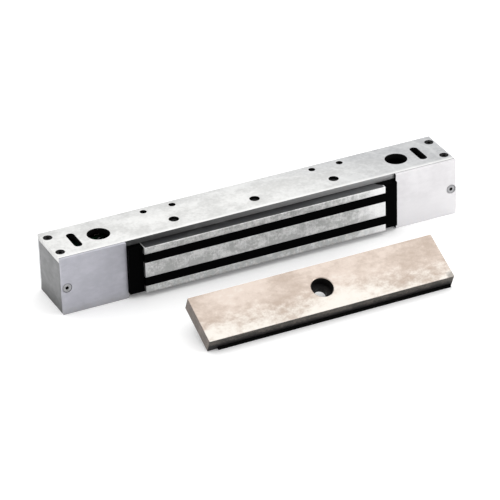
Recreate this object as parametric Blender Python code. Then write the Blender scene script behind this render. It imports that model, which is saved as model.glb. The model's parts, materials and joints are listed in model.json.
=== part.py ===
"""Low-profile magnetic door lock with its steel armature plate.

Run with: blender --background --python part.py

The constants are millimetres and the scene is metres, +Z up. The lock's length lies along X, its
magnet faces -Y and it stands on Z = 0. The armature plate lies in front of it, face up, on its
front edge and on the ends of its two guide pins.
"""

import math

import bmesh
import bpy
from mathutils import Matrix
from mathutils import Vector

MM = 0.001
GAP = 0.3                      # clearance between pieces that touch
ROUND = 48                     # sides of a hole or a large round piece
SMALL_ROUND = 32               # sides of a screw or a pin

# Housing
LOCK_LENGTH = 308.0
LOCK_DEPTH = 41.2
LOCK_HEIGHT = 43.8
LOCK_BACK = 68.0               # Y of the back of the lock
LOCK_FRONT = LOCK_BACK - LOCK_DEPTH
PLATE_THICKNESS = 4.0
SHEET = 2.2                    # thickness of the covers and of the rear panel
END_PLATE = 9.5                # thickness of an end plate
HALF_LENGTH = LOCK_LENGTH / 2
PLATE_UNDERSIDE = LOCK_HEIGHT - PLATE_THICKNESS
BODY_TOP = PLATE_UNDERSIDE - GAP
PLATE_FRONT = LOCK_FRONT + SHEET + GAP
BODY_BACK = LOCK_BACK - SHEET - GAP
END_PLATE_INSIDE = HALF_LENGTH - END_PLATE

# Holes in the mounting plate, measured from the middle of the lock
HOLE_LINE = LOCK_BACK - 19.9   # Y of the slots and the wire holes
SLOT_X = 134.7
SLOT_WIDTH = 6.0
SLOT_LENGTH = 20.0
WIRE_HOLE_X = 116.5
WIRE_HOLE_RADIUS = 8.25
PATTERN_X = 0.9                # how far right of centre the bolts and template holes sit
BOLT_X = tuple(PATTERN_X + x for x in (-62.5, 0.0, 62.5))
BOLT_Y = LOCK_BACK - 25.3
BOLT_HOLE_RADIUS = 3.7
TEMPLATE_HOLE_X = tuple(PATTERN_X + x for x in (-77.1, -55.0, 55.0, 77.1))
TEMPLATE_HOLE_Y = LOCK_BACK - 5.6
TEMPLATE_HOLE_RADIUS = 2.5

# Screws
END_SCREW_X = HALF_LENGTH - 4.3
END_SCREW_Y = (LOCK_BACK - 31.0, LOCK_BACK - 8.3)
END_SCREW_HEAD = 3.1
BACK_SCREW_HEAD = 2.6
BACK_SCREW_Z = (9.0, 24.0)
COVER_SCREW_X = HALF_LENGTH - 3.9
COVER_SCREW_Z = 20.5
COVER_SCREW_HEAD = 3.2
HEAD_RIM = 0.3                 # straight rim of a countersunk head
SHANK = 1.5
SHANK_HOLE = SHANK + GAP

# Magnet
CORE_HALF = 93.75
CORE_FRONT = LOCK_FRONT - 5.6
CORE_DEPTH = 30.0
CORE_BACK = CORE_FRONT + CORE_DEPTH
CORE_BOTTOM = 4.0
CORE_MIDDLE = (CORE_BOTTOM + BODY_TOP) / 2
CORE_SLOT_DEPTH = 14.0
MIDDLE_POLE = 11.6             # height of the middle pole
CORE_SLOT = 6.7                # height of one winding slot
FILL_DEPTH = 6.0               # resin in front of the winding
END_BLOCK_BACKSET = 2.8        # resin ends stand this far behind the pole faces
END_BLOCK_OUTSIDE = 104.6
COVER_INSIDE = END_BLOCK_OUTSIDE + GAP
BOLT_RADIUS = 3.0
BOLT_HEAD_RADIUS = 5.0
BOLT_HEAD_HEIGHT = 5.5
BOLT_END = LOCK_HEIGHT - 1.3

# Wiring compartment, at the left end
BOARD_LENGTH = 33.0
BOARD_HEIGHT = 28.0
BOARD_THICKNESS = 1.6
BOARD_X = -124.5
BOARD_Z = 20.8
SPACER_LENGTH = 3.0
BOARD_BACK = BODY_BACK - GAP - SPACER_LENGTH
BOARD_FRONT = BOARD_BACK - BOARD_THICKNESS
SPACER_OFFSET = Vector((13.5, 0.0, 11.0))
TERMINAL_PITCH = 5.08
TERMINAL_X = -115.5
TERMINAL_Z = 13.5
TERMINAL_SIZE = Vector((3 * TERMINAL_PITCH + 1.0, 9.5, 10.0))
TERMINAL_SCREW_Z = TERMINAL_Z + 1.5
JUMPER_X = -134.0
JUMPER_Z = 13.0
PIN_SIDE = 0.64
PIN_PITCH = 2.54
VARISTOR_X = -128.5
VARISTOR_Z = 27.0

# Armature plate
ARMATURE_LENGTH = 187.3
ARMATURE_WIDTH = 38.1
ARMATURE_THICKNESS = 11.1
ARMATURE_X = 6.8
ARMATURE_FOOT = -63.55         # Y of the front edge that it lies on
COUNTERBORE_RADIUS = 8.0
COUNTERBORE_DEPTH = 7.0
THROUGH_RADIUS = 4.2
GUIDE_PIN_X = 63.5
GUIDE_PIN_RADIUS = 2.5
GUIDE_PIN_REACH = 7.7          # length that stands out of the back
GUIDE_PIN_DEPTH = 5.5          # length inside the plate
TILT = math.atan2(GUIDE_PIN_REACH, ARMATURE_WIDTH / 2 - GUIDE_PIN_RADIUS)
CLOSING_TURN = math.pi / 2 + TILT


def clear_scene():
    """Remove every object that the start-up file holds."""
    for obj in list(bpy.data.objects):
        bpy.data.objects.remove(obj)


def make_material(name, colour, roughness, metallic):
    """Make a Principled material from one colour, roughness and metallic value."""
    material = bpy.data.materials.new(name)
    material.use_nodes = True
    shader = material.node_tree.nodes["Principled BSDF"]
    shader.inputs["Base Color"].default_value = (*colour, 1.0)
    shader.inputs["Roughness"].default_value = roughness
    shader.inputs["Metallic"].default_value = metallic
    return material


def make_finishes():
    """Make the materials that the parts share."""
    return {
        "satin": make_material("satin_aluminium", (0.80, 0.80, 0.80), 0.35, 1.0),
        "sheet": make_material("brushed_aluminium", (0.62, 0.63, 0.66), 0.40, 1.0),
        "screw": make_material("bright_zinc_steel", (0.45, 0.45, 0.46), 0.35, 1.0),
        "black": make_material("black_oxide_steel", (0.02, 0.02, 0.02), 0.45, 0.8),
        "steel": make_material("ground_steel", (0.42, 0.42, 0.43), 0.35, 1.0),
        "copper": make_material("enamelled_copper", (0.55, 0.20, 0.08), 0.35, 1.0),
        "resin": make_material("black_epoxy", (0.006, 0.006, 0.007), 0.40, 0.0),
        "board": make_material("green_circuit_board", (0.02, 0.16, 0.06), 0.45, 0.0),
        "nylon": make_material("white_nylon", (0.75, 0.74, 0.70), 0.50, 0.0),
        "terminal": make_material("green_polyamide", (0.03, 0.28, 0.12), 0.45, 0.0),
        "plastic": make_material("black_polyester", (0.02, 0.02, 0.02), 0.45, 0.0),
        "varistor": make_material("blue_epoxy", (0.03, 0.10, 0.36), 0.40, 0.0),
        "plated": make_material("plated_steel", (0.62, 0.56, 0.49), 0.38, 1.0),
    }


def object_from(name, bm, finish, centre=(0.0, 0.0, 0.0)):
    """Turn a bmesh in metres into a linked object whose origin is at centre, in millimetres."""
    bmesh.ops.recalc_face_normals(bm, faces=bm.faces)
    mesh = bpy.data.meshes.new(name)
    bm.to_mesh(mesh)
    bm.free()
    if finish is not None:
        mesh.materials.append(finish)
    obj = bpy.data.objects.new(name, mesh)
    obj.location = Vector(centre) * MM
    bpy.context.collection.objects.link(obj)
    return obj


def add_box(bm, low, high):
    """Add a box between two corners, in millimetres."""
    low = Vector(low)
    high = Vector(high)
    place = Matrix.Translation((low + high) / 2 * MM)
    stretch = Matrix.Diagonal(((high - low) * MM).to_4d())
    stretch[3][3] = 1.0
    bmesh.ops.create_cube(bm, size=1.0, matrix=place @ stretch)


def add_cylinder(bm, centre, radius, length, axis="Z", sides=ROUND, top_radius=None):
    """Add a cylinder or a cone frustum about X, Y or Z; top_radius is at its +axis end."""
    turn = {"X": Matrix.Rotation(math.pi / 2, 4, "Y"), "Y": Matrix.Rotation(-math.pi / 2, 4, "X"),
            "Z": Matrix.Identity(4)}[axis]
    end_radius = radius if top_radius is None else top_radius
    bmesh.ops.create_cone(bm, cap_ends=True, segments=sides, radius1=radius * MM,
                          radius2=end_radius * MM, depth=length * MM,
                          matrix=Matrix.Translation(Vector(centre) * MM) @ turn)


def make_block(name, low, high, finish):
    """Make a box object whose origin is at its middle."""
    low = Vector(low)
    high = Vector(high)
    half = (high - low) / 2
    bm = bmesh.new()
    add_box(bm, -half, half)
    return object_from(name, bm, finish, (low + high) / 2)


def make_prism(name, outline, start, end, finish):
    """Extrude an outline of (Y, Z) points along X."""
    bm = bmesh.new()
    corners = [bm.verts.new(Vector((start, y, z)) * MM) for y, z in outline]
    face = bm.faces.new(corners)
    grown = bmesh.ops.extrude_face_region(bm, geom=[face])
    moved = [item for item in grown["geom"] if isinstance(item, bmesh.types.BMVert)]
    bmesh.ops.translate(bm, vec=Vector((end - start, 0.0, 0.0)) * MM, verts=moved)
    return object_from(name, bm, finish)


def spin_profile(profile, sides=SMALL_ROUND):
    """Spin a (radius, Z) profile, which starts and ends on the axis, about Z into a closed solid."""
    bm = bmesh.new()
    points = [bm.verts.new(Vector((radius, 0.0, z)) * MM) for radius, z in profile]
    edges = [bm.edges.new(pair) for pair in zip(points, points[1:])]
    bmesh.ops.spin(bm, geom=points + edges, cent=(0, 0, 0), axis=(0, 0, 1),
                   angle=2 * math.pi, steps=sides, use_merge=True)
    bmesh.ops.remove_doubles(bm, verts=bm.verts, dist=0.001 * MM)
    return bm


def combine(target, tool_bm, operation):
    """Join a tool mesh to the target or cut it out, and bake the result into its mesh."""
    tool = object_from(target.name + "_tool", tool_bm, None)
    modifier = target.modifiers.new(operation.lower(), "BOOLEAN")
    modifier.operation = operation
    modifier.object = tool
    bpy.context.view_layer.update()
    graph = bpy.context.evaluated_depsgraph_get()
    result = bpy.data.meshes.new_from_object(target.evaluated_get(graph))
    target.modifiers.clear()
    target.data = result
    bpy.data.objects.remove(tool)


def soften(obj, width, segments=2):
    """Round the sharp edges with a live Bevel modifier."""
    bevel = obj.modifiers.new("soft_edges", "BEVEL")
    bevel.width = width * MM
    bevel.segments = segments
    bevel.limit_method = "ANGLE"
    bevel.angle_limit = math.radians(40)


def smooth(obj):
    """Shade round faces smooth and keep the sharp edges."""
    obj.data.shade_smooth()
    obj.data.set_sharp_from_angle(angle=math.radians(35))


def place_copies(prototype, places, turn=(0.0, 0.0, 0.0)):
    """Put one object on each named place, sharing the prototype's mesh, and drop the prototype."""
    copies = {}
    for name, place in places.items():
        copy = bpy.data.objects.new(name, prototype.data)
        copy.location = Vector(place) * MM
        copy.rotation_euler = turn
        bpy.context.collection.objects.link(copy)
        copies[name] = copy
    bpy.data.objects.remove(prototype)
    return copies


def hang(children, pivot):
    """Parent objects to an unturned empty and keep their places in the world."""
    for child in children:
        child.parent = pivot
        child.location = child.location - pivot.location


def make_pivot(name, place):
    """Make the empty that marks a joint's axis."""
    pivot = bpy.data.objects.new(name, None)
    pivot.empty_display_size = 10 * MM
    pivot.location = Vector(place) * MM
    bpy.context.collection.objects.link(pivot)
    return pivot


def make_flat_screw(name, head, length, socket, finish):
    """Make a countersunk hex-socket screw, its head's face at Z = 0 and its shank down -Z."""
    head_height = head - SHANK
    profile = [(0.0, 0.0), (head, 0.0), (head, -HEAD_RIM), (SHANK, -HEAD_RIM - head_height),
               (SHANK, -length + 0.5), (SHANK - 0.5, -length), (0.0, -length)]
    screw = object_from(name, spin_profile(profile), finish)
    key = bmesh.new()
    add_cylinder(key, (0, 0, 0), socket, 2.4, sides=6)
    combine(screw, key, "DIFFERENCE")
    smooth(screw)
    return screw


def cut_flat_screw_hole(target, face, inward, head, depth):
    """Cut a countersunk hole from a point on a face; inward is the unit vector into the material."""
    seat = head + GAP
    seat_end = -2 * HEAD_RIM
    profile = [(0.0, 2.0), (seat, 2.0), (seat, seat_end), (SHANK_HOLE, seat_end - seat + SHANK_HOLE),
               (SHANK_HOLE, -depth), (0.0, -depth)]
    hole = spin_profile(profile)
    turn = Vector((0, 0, -1)).rotation_difference(Vector(inward)).to_matrix().to_4x4()
    bmesh.ops.transform(hole, matrix=Matrix.Translation(Vector(face) * MM) @ turn, verts=hole.verts)
    combine(target, hole, "DIFFERENCE")


def build_mounting_plate(finishes):
    """Build the top plate with its slots, wire holes, bolt holes and countersinks."""
    plate = make_block("mounting_plate", (-HALF_LENGTH, PLATE_FRONT, PLATE_UNDERSIDE),
                       (HALF_LENGTH, LOCK_BACK, LOCK_HEIGHT), finishes["satin"])
    middle = LOCK_HEIGHT - PLATE_THICKNESS / 2
    deep = PLATE_THICKNESS + 2.0
    straight = (SLOT_LENGTH - SLOT_WIDTH) / 2
    round_holes = [(x, BOLT_Y, BOLT_HOLE_RADIUS) for x in BOLT_X]
    round_holes += [(x, TEMPLATE_HOLE_Y, TEMPLATE_HOLE_RADIUS) for x in TEMPLATE_HOLE_X]
    for side in (-1, 1):
        round_holes.append((side * WIRE_HOLE_X, HOLE_LINE, WIRE_HOLE_RADIUS))
        round_holes.append((side * SLOT_X, HOLE_LINE - straight, SLOT_WIDTH / 2))
        round_holes.append((side * SLOT_X, HOLE_LINE + straight, SLOT_WIDTH / 2))
    for x, y, radius in round_holes:
        hole = bmesh.new()
        add_cylinder(hole, (x, y, middle), radius, deep)
        combine(plate, hole, "DIFFERENCE")
    for side in (-1, 1):
        slot = bmesh.new()
        add_box(slot, (side * SLOT_X - SLOT_WIDTH / 2, HOLE_LINE - straight, middle - deep / 2),
                (side * SLOT_X + SLOT_WIDTH / 2, HOLE_LINE + straight, middle + deep / 2))
        combine(plate, slot, "DIFFERENCE")
        for y in END_SCREW_Y:
            cut_flat_screw_hole(plate, (side * END_SCREW_X, y, LOCK_HEIGHT), (0, 0, -1),
                                END_SCREW_HEAD, deep)
    smooth(plate)
    return plate


def build_end_plates(finishes):
    """Build the two thick end plates with the screw holes they hold."""
    for name, side in (("left_end_plate", -1), ("right_end_plate", 1)):
        low_x, high_x = sorted((side * END_PLATE_INSIDE, side * HALF_LENGTH))
        plate = make_block(name, (low_x, PLATE_FRONT, 0.0), (high_x, BODY_BACK, BODY_TOP),
                           finishes["sheet"])
        holes = bmesh.new()
        for y in END_SCREW_Y:
            add_cylinder(holes, (side * END_SCREW_X, y, BODY_TOP), SHANK_HOLE, 18.0,
                         sides=SMALL_ROUND)
        for z in BACK_SCREW_Z:
            add_cylinder(holes, (side * END_SCREW_X, BODY_BACK, z), SHANK_HOLE, 16.0, "Y",
                         SMALL_ROUND)
        add_cylinder(holes, (side * COVER_SCREW_X, PLATE_FRONT, COVER_SCREW_Z), SHANK_HOLE, 18.0,
                     "Y", SMALL_ROUND)
        combine(plate, holes, "DIFFERENCE")
        smooth(plate)


def build_rear_panel(finishes):
    """Build the sheet that closes the back, with its four countersunk holes."""
    panel = make_block("rear_panel", (-HALF_LENGTH, LOCK_BACK - SHEET, 0.0),
                       (HALF_LENGTH, LOCK_BACK, BODY_TOP), finishes["sheet"])
    for side in (-1, 1):
        for z in BACK_SCREW_Z:
            cut_flat_screw_hole(panel, (side * END_SCREW_X, LOCK_BACK, z), (0, -1, 0),
                                BACK_SCREW_HEAD, SHEET + 2.0)
    smooth(panel)


def build_body_screws(finishes):
    """Build the screws that hold the mounting plate and the rear panel to the end plates."""
    prototype = make_flat_screw("top_screw", END_SCREW_HEAD, 11.0, 1.3, finishes["black"])
    places = {}
    for side_name, side in (("left", -1), ("right", 1)):
        for end_name, y in zip(("front", "rear"), END_SCREW_Y):
            name = side_name + "_" + end_name + "_top_screw"
            places[name] = (side * END_SCREW_X, y, LOCK_HEIGHT - 0.2)
    place_copies(prototype, places)
    prototype = make_flat_screw("back_screw", BACK_SCREW_HEAD, 8.0, 1.1, finishes["black"])
    places = {}
    for side_name, side in (("left", -1), ("right", 1)):
        for end_name, z in zip(("lower", "upper"), BACK_SCREW_Z):
            name = side_name + "_" + end_name + "_back_screw"
            places[name] = (side * END_SCREW_X, LOCK_BACK - 0.2, z)
    place_copies(prototype, places, (-math.pi / 2, 0.0, 0.0))


def build_covers(finishes):
    """Build the L-shaped access covers, each with the captive screw that rides on it."""
    prototype = make_flat_screw("cover_screw", COVER_SCREW_HEAD, 9.0, 1.3, finishes["screw"])
    places = {name: (side * COVER_SCREW_X, LOCK_FRONT + 0.1, COVER_SCREW_Z)
              for name, side in (("left_cover_screw", -1), ("right_cover_screw", 1))}
    place_copies(prototype, places, (math.pi / 2, 0.0, 0.0))
    for name, side in (("left_access_cover", -1), ("right_access_cover", 1)):
        low_x, high_x = sorted((side * COVER_INSIDE, side * HALF_LENGTH))
        cover = make_block(name, (low_x, LOCK_FRONT, 0.0), (high_x, LOCK_FRONT + SHEET, LOCK_HEIGHT),
                           finishes["sheet"])
        low_x, high_x = sorted((side * COVER_INSIDE, side * (END_PLATE_INSIDE - GAP)))
        leaf = bmesh.new()
        add_box(leaf, (low_x, LOCK_FRONT + SHEET / 2, 0.0), (high_x, BODY_BACK, SHEET))
        combine(cover, leaf, "UNION")
        cut_flat_screw_hole(cover, (side * COVER_SCREW_X, LOCK_FRONT, COVER_SCREW_Z), (0, 1, 0),
                            COVER_SCREW_HEAD, SHEET + 2.0)
        smooth(cover)


def build_core(finishes):
    """Build the E-section steel core with the counterbored holes of its bolts."""
    slot_back = CORE_FRONT + CORE_SLOT_DEPTH
    inner = MIDDLE_POLE / 2
    outer = inner + CORE_SLOT
    top = BODY_TOP - CORE_MIDDLE
    half_outline = [(CORE_FRONT, inner), (slot_back, inner), (slot_back, outer),
                    (CORE_FRONT, outer), (CORE_FRONT, top), (CORE_BACK, top)]
    outline = [(y, CORE_MIDDLE + z) for y, z in half_outline]
    outline += [(y, CORE_MIDDLE - z) for y, z in reversed(half_outline)]
    core = make_prism("magnet_core", outline, -CORE_HALF, CORE_HALF, finishes["steel"])
    head_room = BOLT_HEAD_HEIGHT + 2 * GAP
    for x in BOLT_X:
        hole = bmesh.new()
        add_cylinder(hole, (x, BOLT_Y, CORE_MIDDLE), BOLT_RADIUS + GAP, LOCK_HEIGHT)
        combine(core, hole, "DIFFERENCE")
        seat = bmesh.new()
        add_cylinder(seat, (x, BOLT_Y, CORE_BOTTOM + head_room / 2 - 1.0), BOLT_HEAD_RADIUS + GAP,
                     head_room + 2.0)
        combine(core, seat, "DIFFERENCE")
    smooth(core)


def build_core_bolts(finishes):
    """Build the bolts that hold the core to the mounting plate, head down."""
    head_bottom = CORE_BOTTOM + GAP
    profile = [(0.0, 0.0), (BOLT_HEAD_RADIUS - 0.4, 0.0), (BOLT_HEAD_RADIUS, 0.4),
               (BOLT_HEAD_RADIUS, BOLT_HEAD_HEIGHT), (BOLT_RADIUS, BOLT_HEAD_HEIGHT),
               (BOLT_RADIUS, BOLT_END - head_bottom - 0.6),
               (BOLT_RADIUS - 0.6, BOLT_END - head_bottom), (0.0, BOLT_END - head_bottom)]
    bolt = object_from("core_bolt", spin_profile(profile), finishes["black"])
    key = bmesh.new()
    add_cylinder(key, (0, 0, 0), 2.6, 6.0, sides=6)
    combine(bolt, key, "DIFFERENCE")
    smooth(bolt)
    names = ("left_core_bolt", "middle_core_bolt", "right_core_bolt")
    place_copies(bolt, {name: (x, BOLT_Y, head_bottom) for name, x in zip(names, BOLT_X)})


def add_ring(bm, half_x, half_z, low_y, high_y, radius):
    """Add a rounded rectangle in the XZ plane about the core's middle, extruded along Y."""
    corners = []
    steps = 8
    for number, (sx, sz) in enumerate(((1, 1), (-1, 1), (-1, -1), (1, -1))):
        for step in range(steps + 1):
            angle = math.pi / 2 * (number + step / steps)
            x = sx * (half_x - radius) + radius * math.cos(angle)
            z = sz * (half_z - radius) + radius * math.sin(angle)
            corners.append(bm.verts.new(Vector((x, low_y, CORE_MIDDLE + z)) * MM))
    face = bm.faces.new(corners)
    grown = bmesh.ops.extrude_face_region(bm, geom=[face])
    moved = [item for item in grown["geom"] if isinstance(item, bmesh.types.BMVert)]
    bmesh.ops.translate(bm, vec=Vector((0.0, high_y - low_y, 0.0)) * MM, verts=moved)


def build_coil(finishes):
    """Build the winding, a flat racetrack around the middle pole."""
    front = CORE_FRONT + FILL_DEPTH + GAP
    back = CORE_FRONT + CORE_SLOT_DEPTH - GAP
    inside = MIDDLE_POLE / 2 + GAP
    thick = CORE_SLOT - 2 * GAP
    outline = bmesh.new()
    add_ring(outline, CORE_HALF + GAP + thick, inside + thick, front, back, thick)
    coil = object_from("magnet_coil", outline, finishes["copper"])
    window = bmesh.new()
    add_ring(window, CORE_HALF + GAP, inside, front - 1.0, back + 1.0, 0.5)
    combine(coil, window, "DIFFERENCE")
    smooth(coil)


def build_potting(finishes):
    """Build the resin that fills both slots and caps both ends of the winding."""
    thick = CORE_SLOT - 2 * GAP
    inside = MIDDLE_POLE / 2 + GAP
    block_front = CORE_FRONT + END_BLOCK_BACKSET
    fill_back = CORE_FRONT + FILL_DEPTH
    start = CORE_HALF + GAP
    potting = make_block("coil_potting", (-END_BLOCK_OUTSIDE, block_front, CORE_BOTTOM),
                         (-start, CORE_BACK, BODY_TOP), finishes["resin"])
    right = bmesh.new()
    add_box(right, (start, block_front, CORE_BOTTOM), (END_BLOCK_OUTSIDE, CORE_BACK, BODY_TOP))
    combine(potting, right, "UNION")
    for side in (-1, 1):
        low_z, high_z = sorted((side * inside, side * (inside + thick)))
        for front, half in ((CORE_FRONT, CORE_HALF), (block_front, start + 1.0)):
            filler = bmesh.new()
            add_box(filler, (-half, front, CORE_MIDDLE + low_z), (half, fill_back, CORE_MIDDLE + high_z))
            combine(potting, filler, "UNION")
    cavity = bmesh.new()
    add_ring(cavity, start + thick + GAP, inside + thick + GAP, fill_back,
             CORE_FRONT + CORE_SLOT_DEPTH, thick)
    combine(potting, cavity, "DIFFERENCE")
    smooth(potting)


def build_board(finishes):
    """Build the circuit board with its spacers and screws."""
    low = (BOARD_X - BOARD_LENGTH / 2, BOARD_FRONT, BOARD_Z - BOARD_HEIGHT / 2)
    high = (BOARD_X + BOARD_LENGTH / 2, BOARD_BACK, BOARD_Z + BOARD_HEIGHT / 2)
    board = make_block("circuit_board", low, high, finishes["board"])
    middle = Vector((BOARD_X, 0.0, BOARD_Z))
    corners = (middle - SPACER_OFFSET, middle + SPACER_OFFSET)
    for name, corner in zip(("lower", "upper"), corners):
        hole = bmesh.new()
        add_cylinder(hole, (corner.x, BOARD_BACK, corner.z), SHANK, 8.0, "Y", SMALL_ROUND)
        combine(board, hole, "DIFFERENCE")
        spacer = bmesh.new()
        add_cylinder(spacer, (0, 0, 0), 2.6, SPACER_LENGTH, "Y", SMALL_ROUND)
        place = (corner.x, BODY_BACK - SPACER_LENGTH / 2, corner.z)
        ring = object_from(name + "_board_spacer", spacer, finishes["nylon"], place)
        bore = bmesh.new()
        add_cylinder(bore, place, SHANK, 8.0, "Y", SMALL_ROUND)
        combine(ring, bore, "DIFFERENCE")
        smooth(ring)
    profile = [(0.0, 1.6), (1.6, 1.6), (2.3, 0.9), (2.3, 0.0), (1.2, 0.0), (1.2, -4.2), (0.0, -4.2)]
    screw = object_from("board_screw", spin_profile(profile), finishes["screw"])
    slot = bmesh.new()
    add_box(slot, (-3.0, -0.35, 0.9), (3.0, 0.35, 3.0))
    combine(screw, slot, "DIFFERENCE")
    smooth(screw)
    places = {name + "_board_screw": (corner.x, BOARD_FRONT - GAP, corner.z)
              for name, corner in zip(("lower", "upper"), corners)}
    place_copies(screw, places, (math.pi / 2, 0.0, 0.0))
    smooth(board)


def build_terminal_block(finishes):
    """Build the three-pole terminal block and its clamp screws."""
    half = TERMINAL_SIZE / 2
    back = BOARD_FRONT - GAP
    middle = Vector((TERMINAL_X, back - half.y, TERMINAL_Z))
    block = make_block("terminal_block", middle - half, middle + half, finishes["terminal"])
    poles = [TERMINAL_X + number * TERMINAL_PITCH for number in (-1, 0, 1)]
    front = middle.y - half.y
    for x in poles:
        well = bmesh.new()
        add_cylinder(well, (x, front, TERMINAL_SCREW_Z), 2.0, 8.0, "Y", SMALL_ROUND)
        combine(block, well, "DIFFERENCE")
        mouth = bmesh.new()
        add_box(mouth, (x - 1.6, front + 5.4, middle.z + half.z - 2.2),
                (x + 1.6, front + 8.2, middle.z + half.z + 1.0))
        combine(block, mouth, "DIFFERENCE")
    smooth(block)
    profile = [(0.0, 0.0), (1.5, 0.0), (1.7, -0.2), (1.7, -2.6), (0.0, -2.6)]
    screw = object_from("terminal_screw", spin_profile(profile), finishes["screw"])
    slot = bmesh.new()
    add_box(slot, (-3.0, -0.25, -0.7), (3.0, 0.25, 1.0))
    combine(screw, slot, "DIFFERENCE")
    smooth(screw)
    names = ("left_terminal_screw", "middle_terminal_screw", "right_terminal_screw")
    places = {name: (x, front + 1.0, TERMINAL_SCREW_Z) for name, x in zip(names, poles)}
    place_copies(screw, places, (math.pi / 2, 0.0, 0.0))


def build_jumper(finishes):
    """Build the two-pin header and the pull-off jumper that sets the coil voltage."""
    back = BOARD_FRONT - GAP
    base = make_block("jumper_header", (JUMPER_X - 2.5, back - 2.5, JUMPER_Z - 1.25),
                      (JUMPER_X + 2.5, back, JUMPER_Z + 1.25), finishes["plastic"])
    jumper = make_block("voltage_jumper", (JUMPER_X - 2.5, back - 9.3, JUMPER_Z - 1.25),
                        (JUMPER_X + 2.5, back - 2.8, JUMPER_Z + 1.25), finishes["plastic"])
    for side in (-1, 1):
        x = JUMPER_X + side * PIN_PITCH / 2
        pin = bmesh.new()
        add_box(pin, (x - PIN_SIDE / 2, back - 8.0, JUMPER_Z - PIN_SIDE / 2),
                (x + PIN_SIDE / 2, back - 1.0, JUMPER_Z + PIN_SIDE / 2))
        combine(base, pin, "UNION")
        pocket = bmesh.new()
        reach = PIN_SIDE / 2 + GAP
        add_box(pocket, (x - reach, back - 8.5, JUMPER_Z - reach), (x + reach, back, JUMPER_Z + reach))
        combine(jumper, pocket, "DIFFERENCE")


def build_varistor(finishes):
    """Build the disc that absorbs the coil's switching surge."""
    disc = bmesh.new()
    add_cylinder(disc, (0, 0, 0), 4.6, 3.6, "Y", SMALL_ROUND)
    place = (VARISTOR_X, BOARD_FRONT - GAP - 1.8, VARISTOR_Z)
    varistor = object_from("surge_varistor", disc, finishes["varistor"], place)
    soften(varistor, 0.8)
    smooth(varistor)


def armature_frame():
    """Give the middle of the armature's face at rest, its up-slope vector and its normal."""
    slope = Vector((0.0, math.cos(TILT), math.sin(TILT)))
    normal = Vector((0.0, -math.sin(TILT), math.cos(TILT)))
    foot = Vector((ARMATURE_X, ARMATURE_FOOT, 0.0))
    face = foot + slope * (ARMATURE_WIDTH / 2) + normal * ARMATURE_THICKNESS
    return face, slope, normal


def closing_axis(face):
    """Give the point about which the armature turns from rest to flat on the pole faces."""
    closed = Vector((ARMATURE_X, CORE_FRONT - GAP, CORE_MIDDLE))
    half = (closed - face) / 2
    sideways = Vector((0.0, half.z, -half.y))
    return (closed + face) / 2 + sideways / math.tan(CLOSING_TURN / 2)


def build_armature(finishes):
    """Build the armature plate and its guide pins on the stand-in axis of the closing door."""
    face, slope, normal = armature_frame()
    pivot = make_pivot("armature_axis", closing_axis(face))
    middle = face - normal * (ARMATURE_THICKNESS / 2)
    half = Vector((ARMATURE_LENGTH, ARMATURE_WIDTH, ARMATURE_THICKNESS)) / 2
    plate_bm = bmesh.new()
    add_box(plate_bm, -half, half)
    bmesh.ops.bevel(plate_bm, geom=plate_bm.edges, offset=0.6 * MM, segments=2, affect="EDGES")
    plate = object_from("armature_plate", plate_bm, finishes["plated"])
    tools = ((0.0, half.z, COUNTERBORE_RADIUS, 2 * COUNTERBORE_DEPTH),
             (0.0, 0.0, THROUGH_RADIUS, 2 * ARMATURE_THICKNESS),
             (-GUIDE_PIN_X, -half.z, GUIDE_PIN_RADIUS + GAP, 2 * (GUIDE_PIN_DEPTH + GAP)),
             (GUIDE_PIN_X, -half.z, GUIDE_PIN_RADIUS + GAP, 2 * (GUIDE_PIN_DEPTH + GAP)))
    for x, z, radius, length in tools:
        hole = bmesh.new()
        add_cylinder(hole, (x, 0.0, z), radius, length)
        combine(plate, hole, "DIFFERENCE")
    smooth(plate)
    plate.location = middle * MM
    plate.rotation_euler = (TILT, 0.0, 0.0)
    profile = [(0.0, 0.0), (GUIDE_PIN_RADIUS, 0.0),
               (GUIDE_PIN_RADIUS, GUIDE_PIN_REACH + GUIDE_PIN_DEPTH),
               (0.0, GUIDE_PIN_REACH + GUIDE_PIN_DEPTH)]
    pin = object_from("guide_pin", spin_profile(profile), finishes["screw"])
    smooth(pin)
    end = middle - normal * (half.z + GUIDE_PIN_REACH)
    names = {"left_guide_pin": -GUIDE_PIN_X, "right_guide_pin": GUIDE_PIN_X}
    places = {name: end + Vector((x, 0.0, 0.0)) for name, x in names.items()}
    pins = place_copies(pin, places, (TILT, 0.0, 0.0))
    hang([plate] + list(pins.values()), pivot)


def main():
    """Build the whole lock."""
    clear_scene()
    finishes = make_finishes()
    build_mounting_plate(finishes)
    build_end_plates(finishes)
    build_rear_panel(finishes)
    build_body_screws(finishes)
    build_covers(finishes)
    build_core(finishes)
    build_core_bolts(finishes)
    build_coil(finishes)
    build_potting(finishes)
    build_board(finishes)
    build_terminal_block(finishes)
    build_jumper(finishes)
    build_varistor(finishes)
    build_armature(finishes)


main()
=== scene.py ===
"""Looks of a low-profile magnetic door lock and its armature plate, over their CAD frame.

Lengths in the classes below are millimetres; meshes are in metres, in the model's own frame:
+X along the lock, -Y the way the magnet faces, +Z up.
"""

import json
import logging
import math
from dataclasses import dataclass, replace
from enum import Enum
from functools import cache
from typing import Callable, Iterable, Sequence

import bmesh
import bpy
from mathutils import Matrix, Vector


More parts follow.
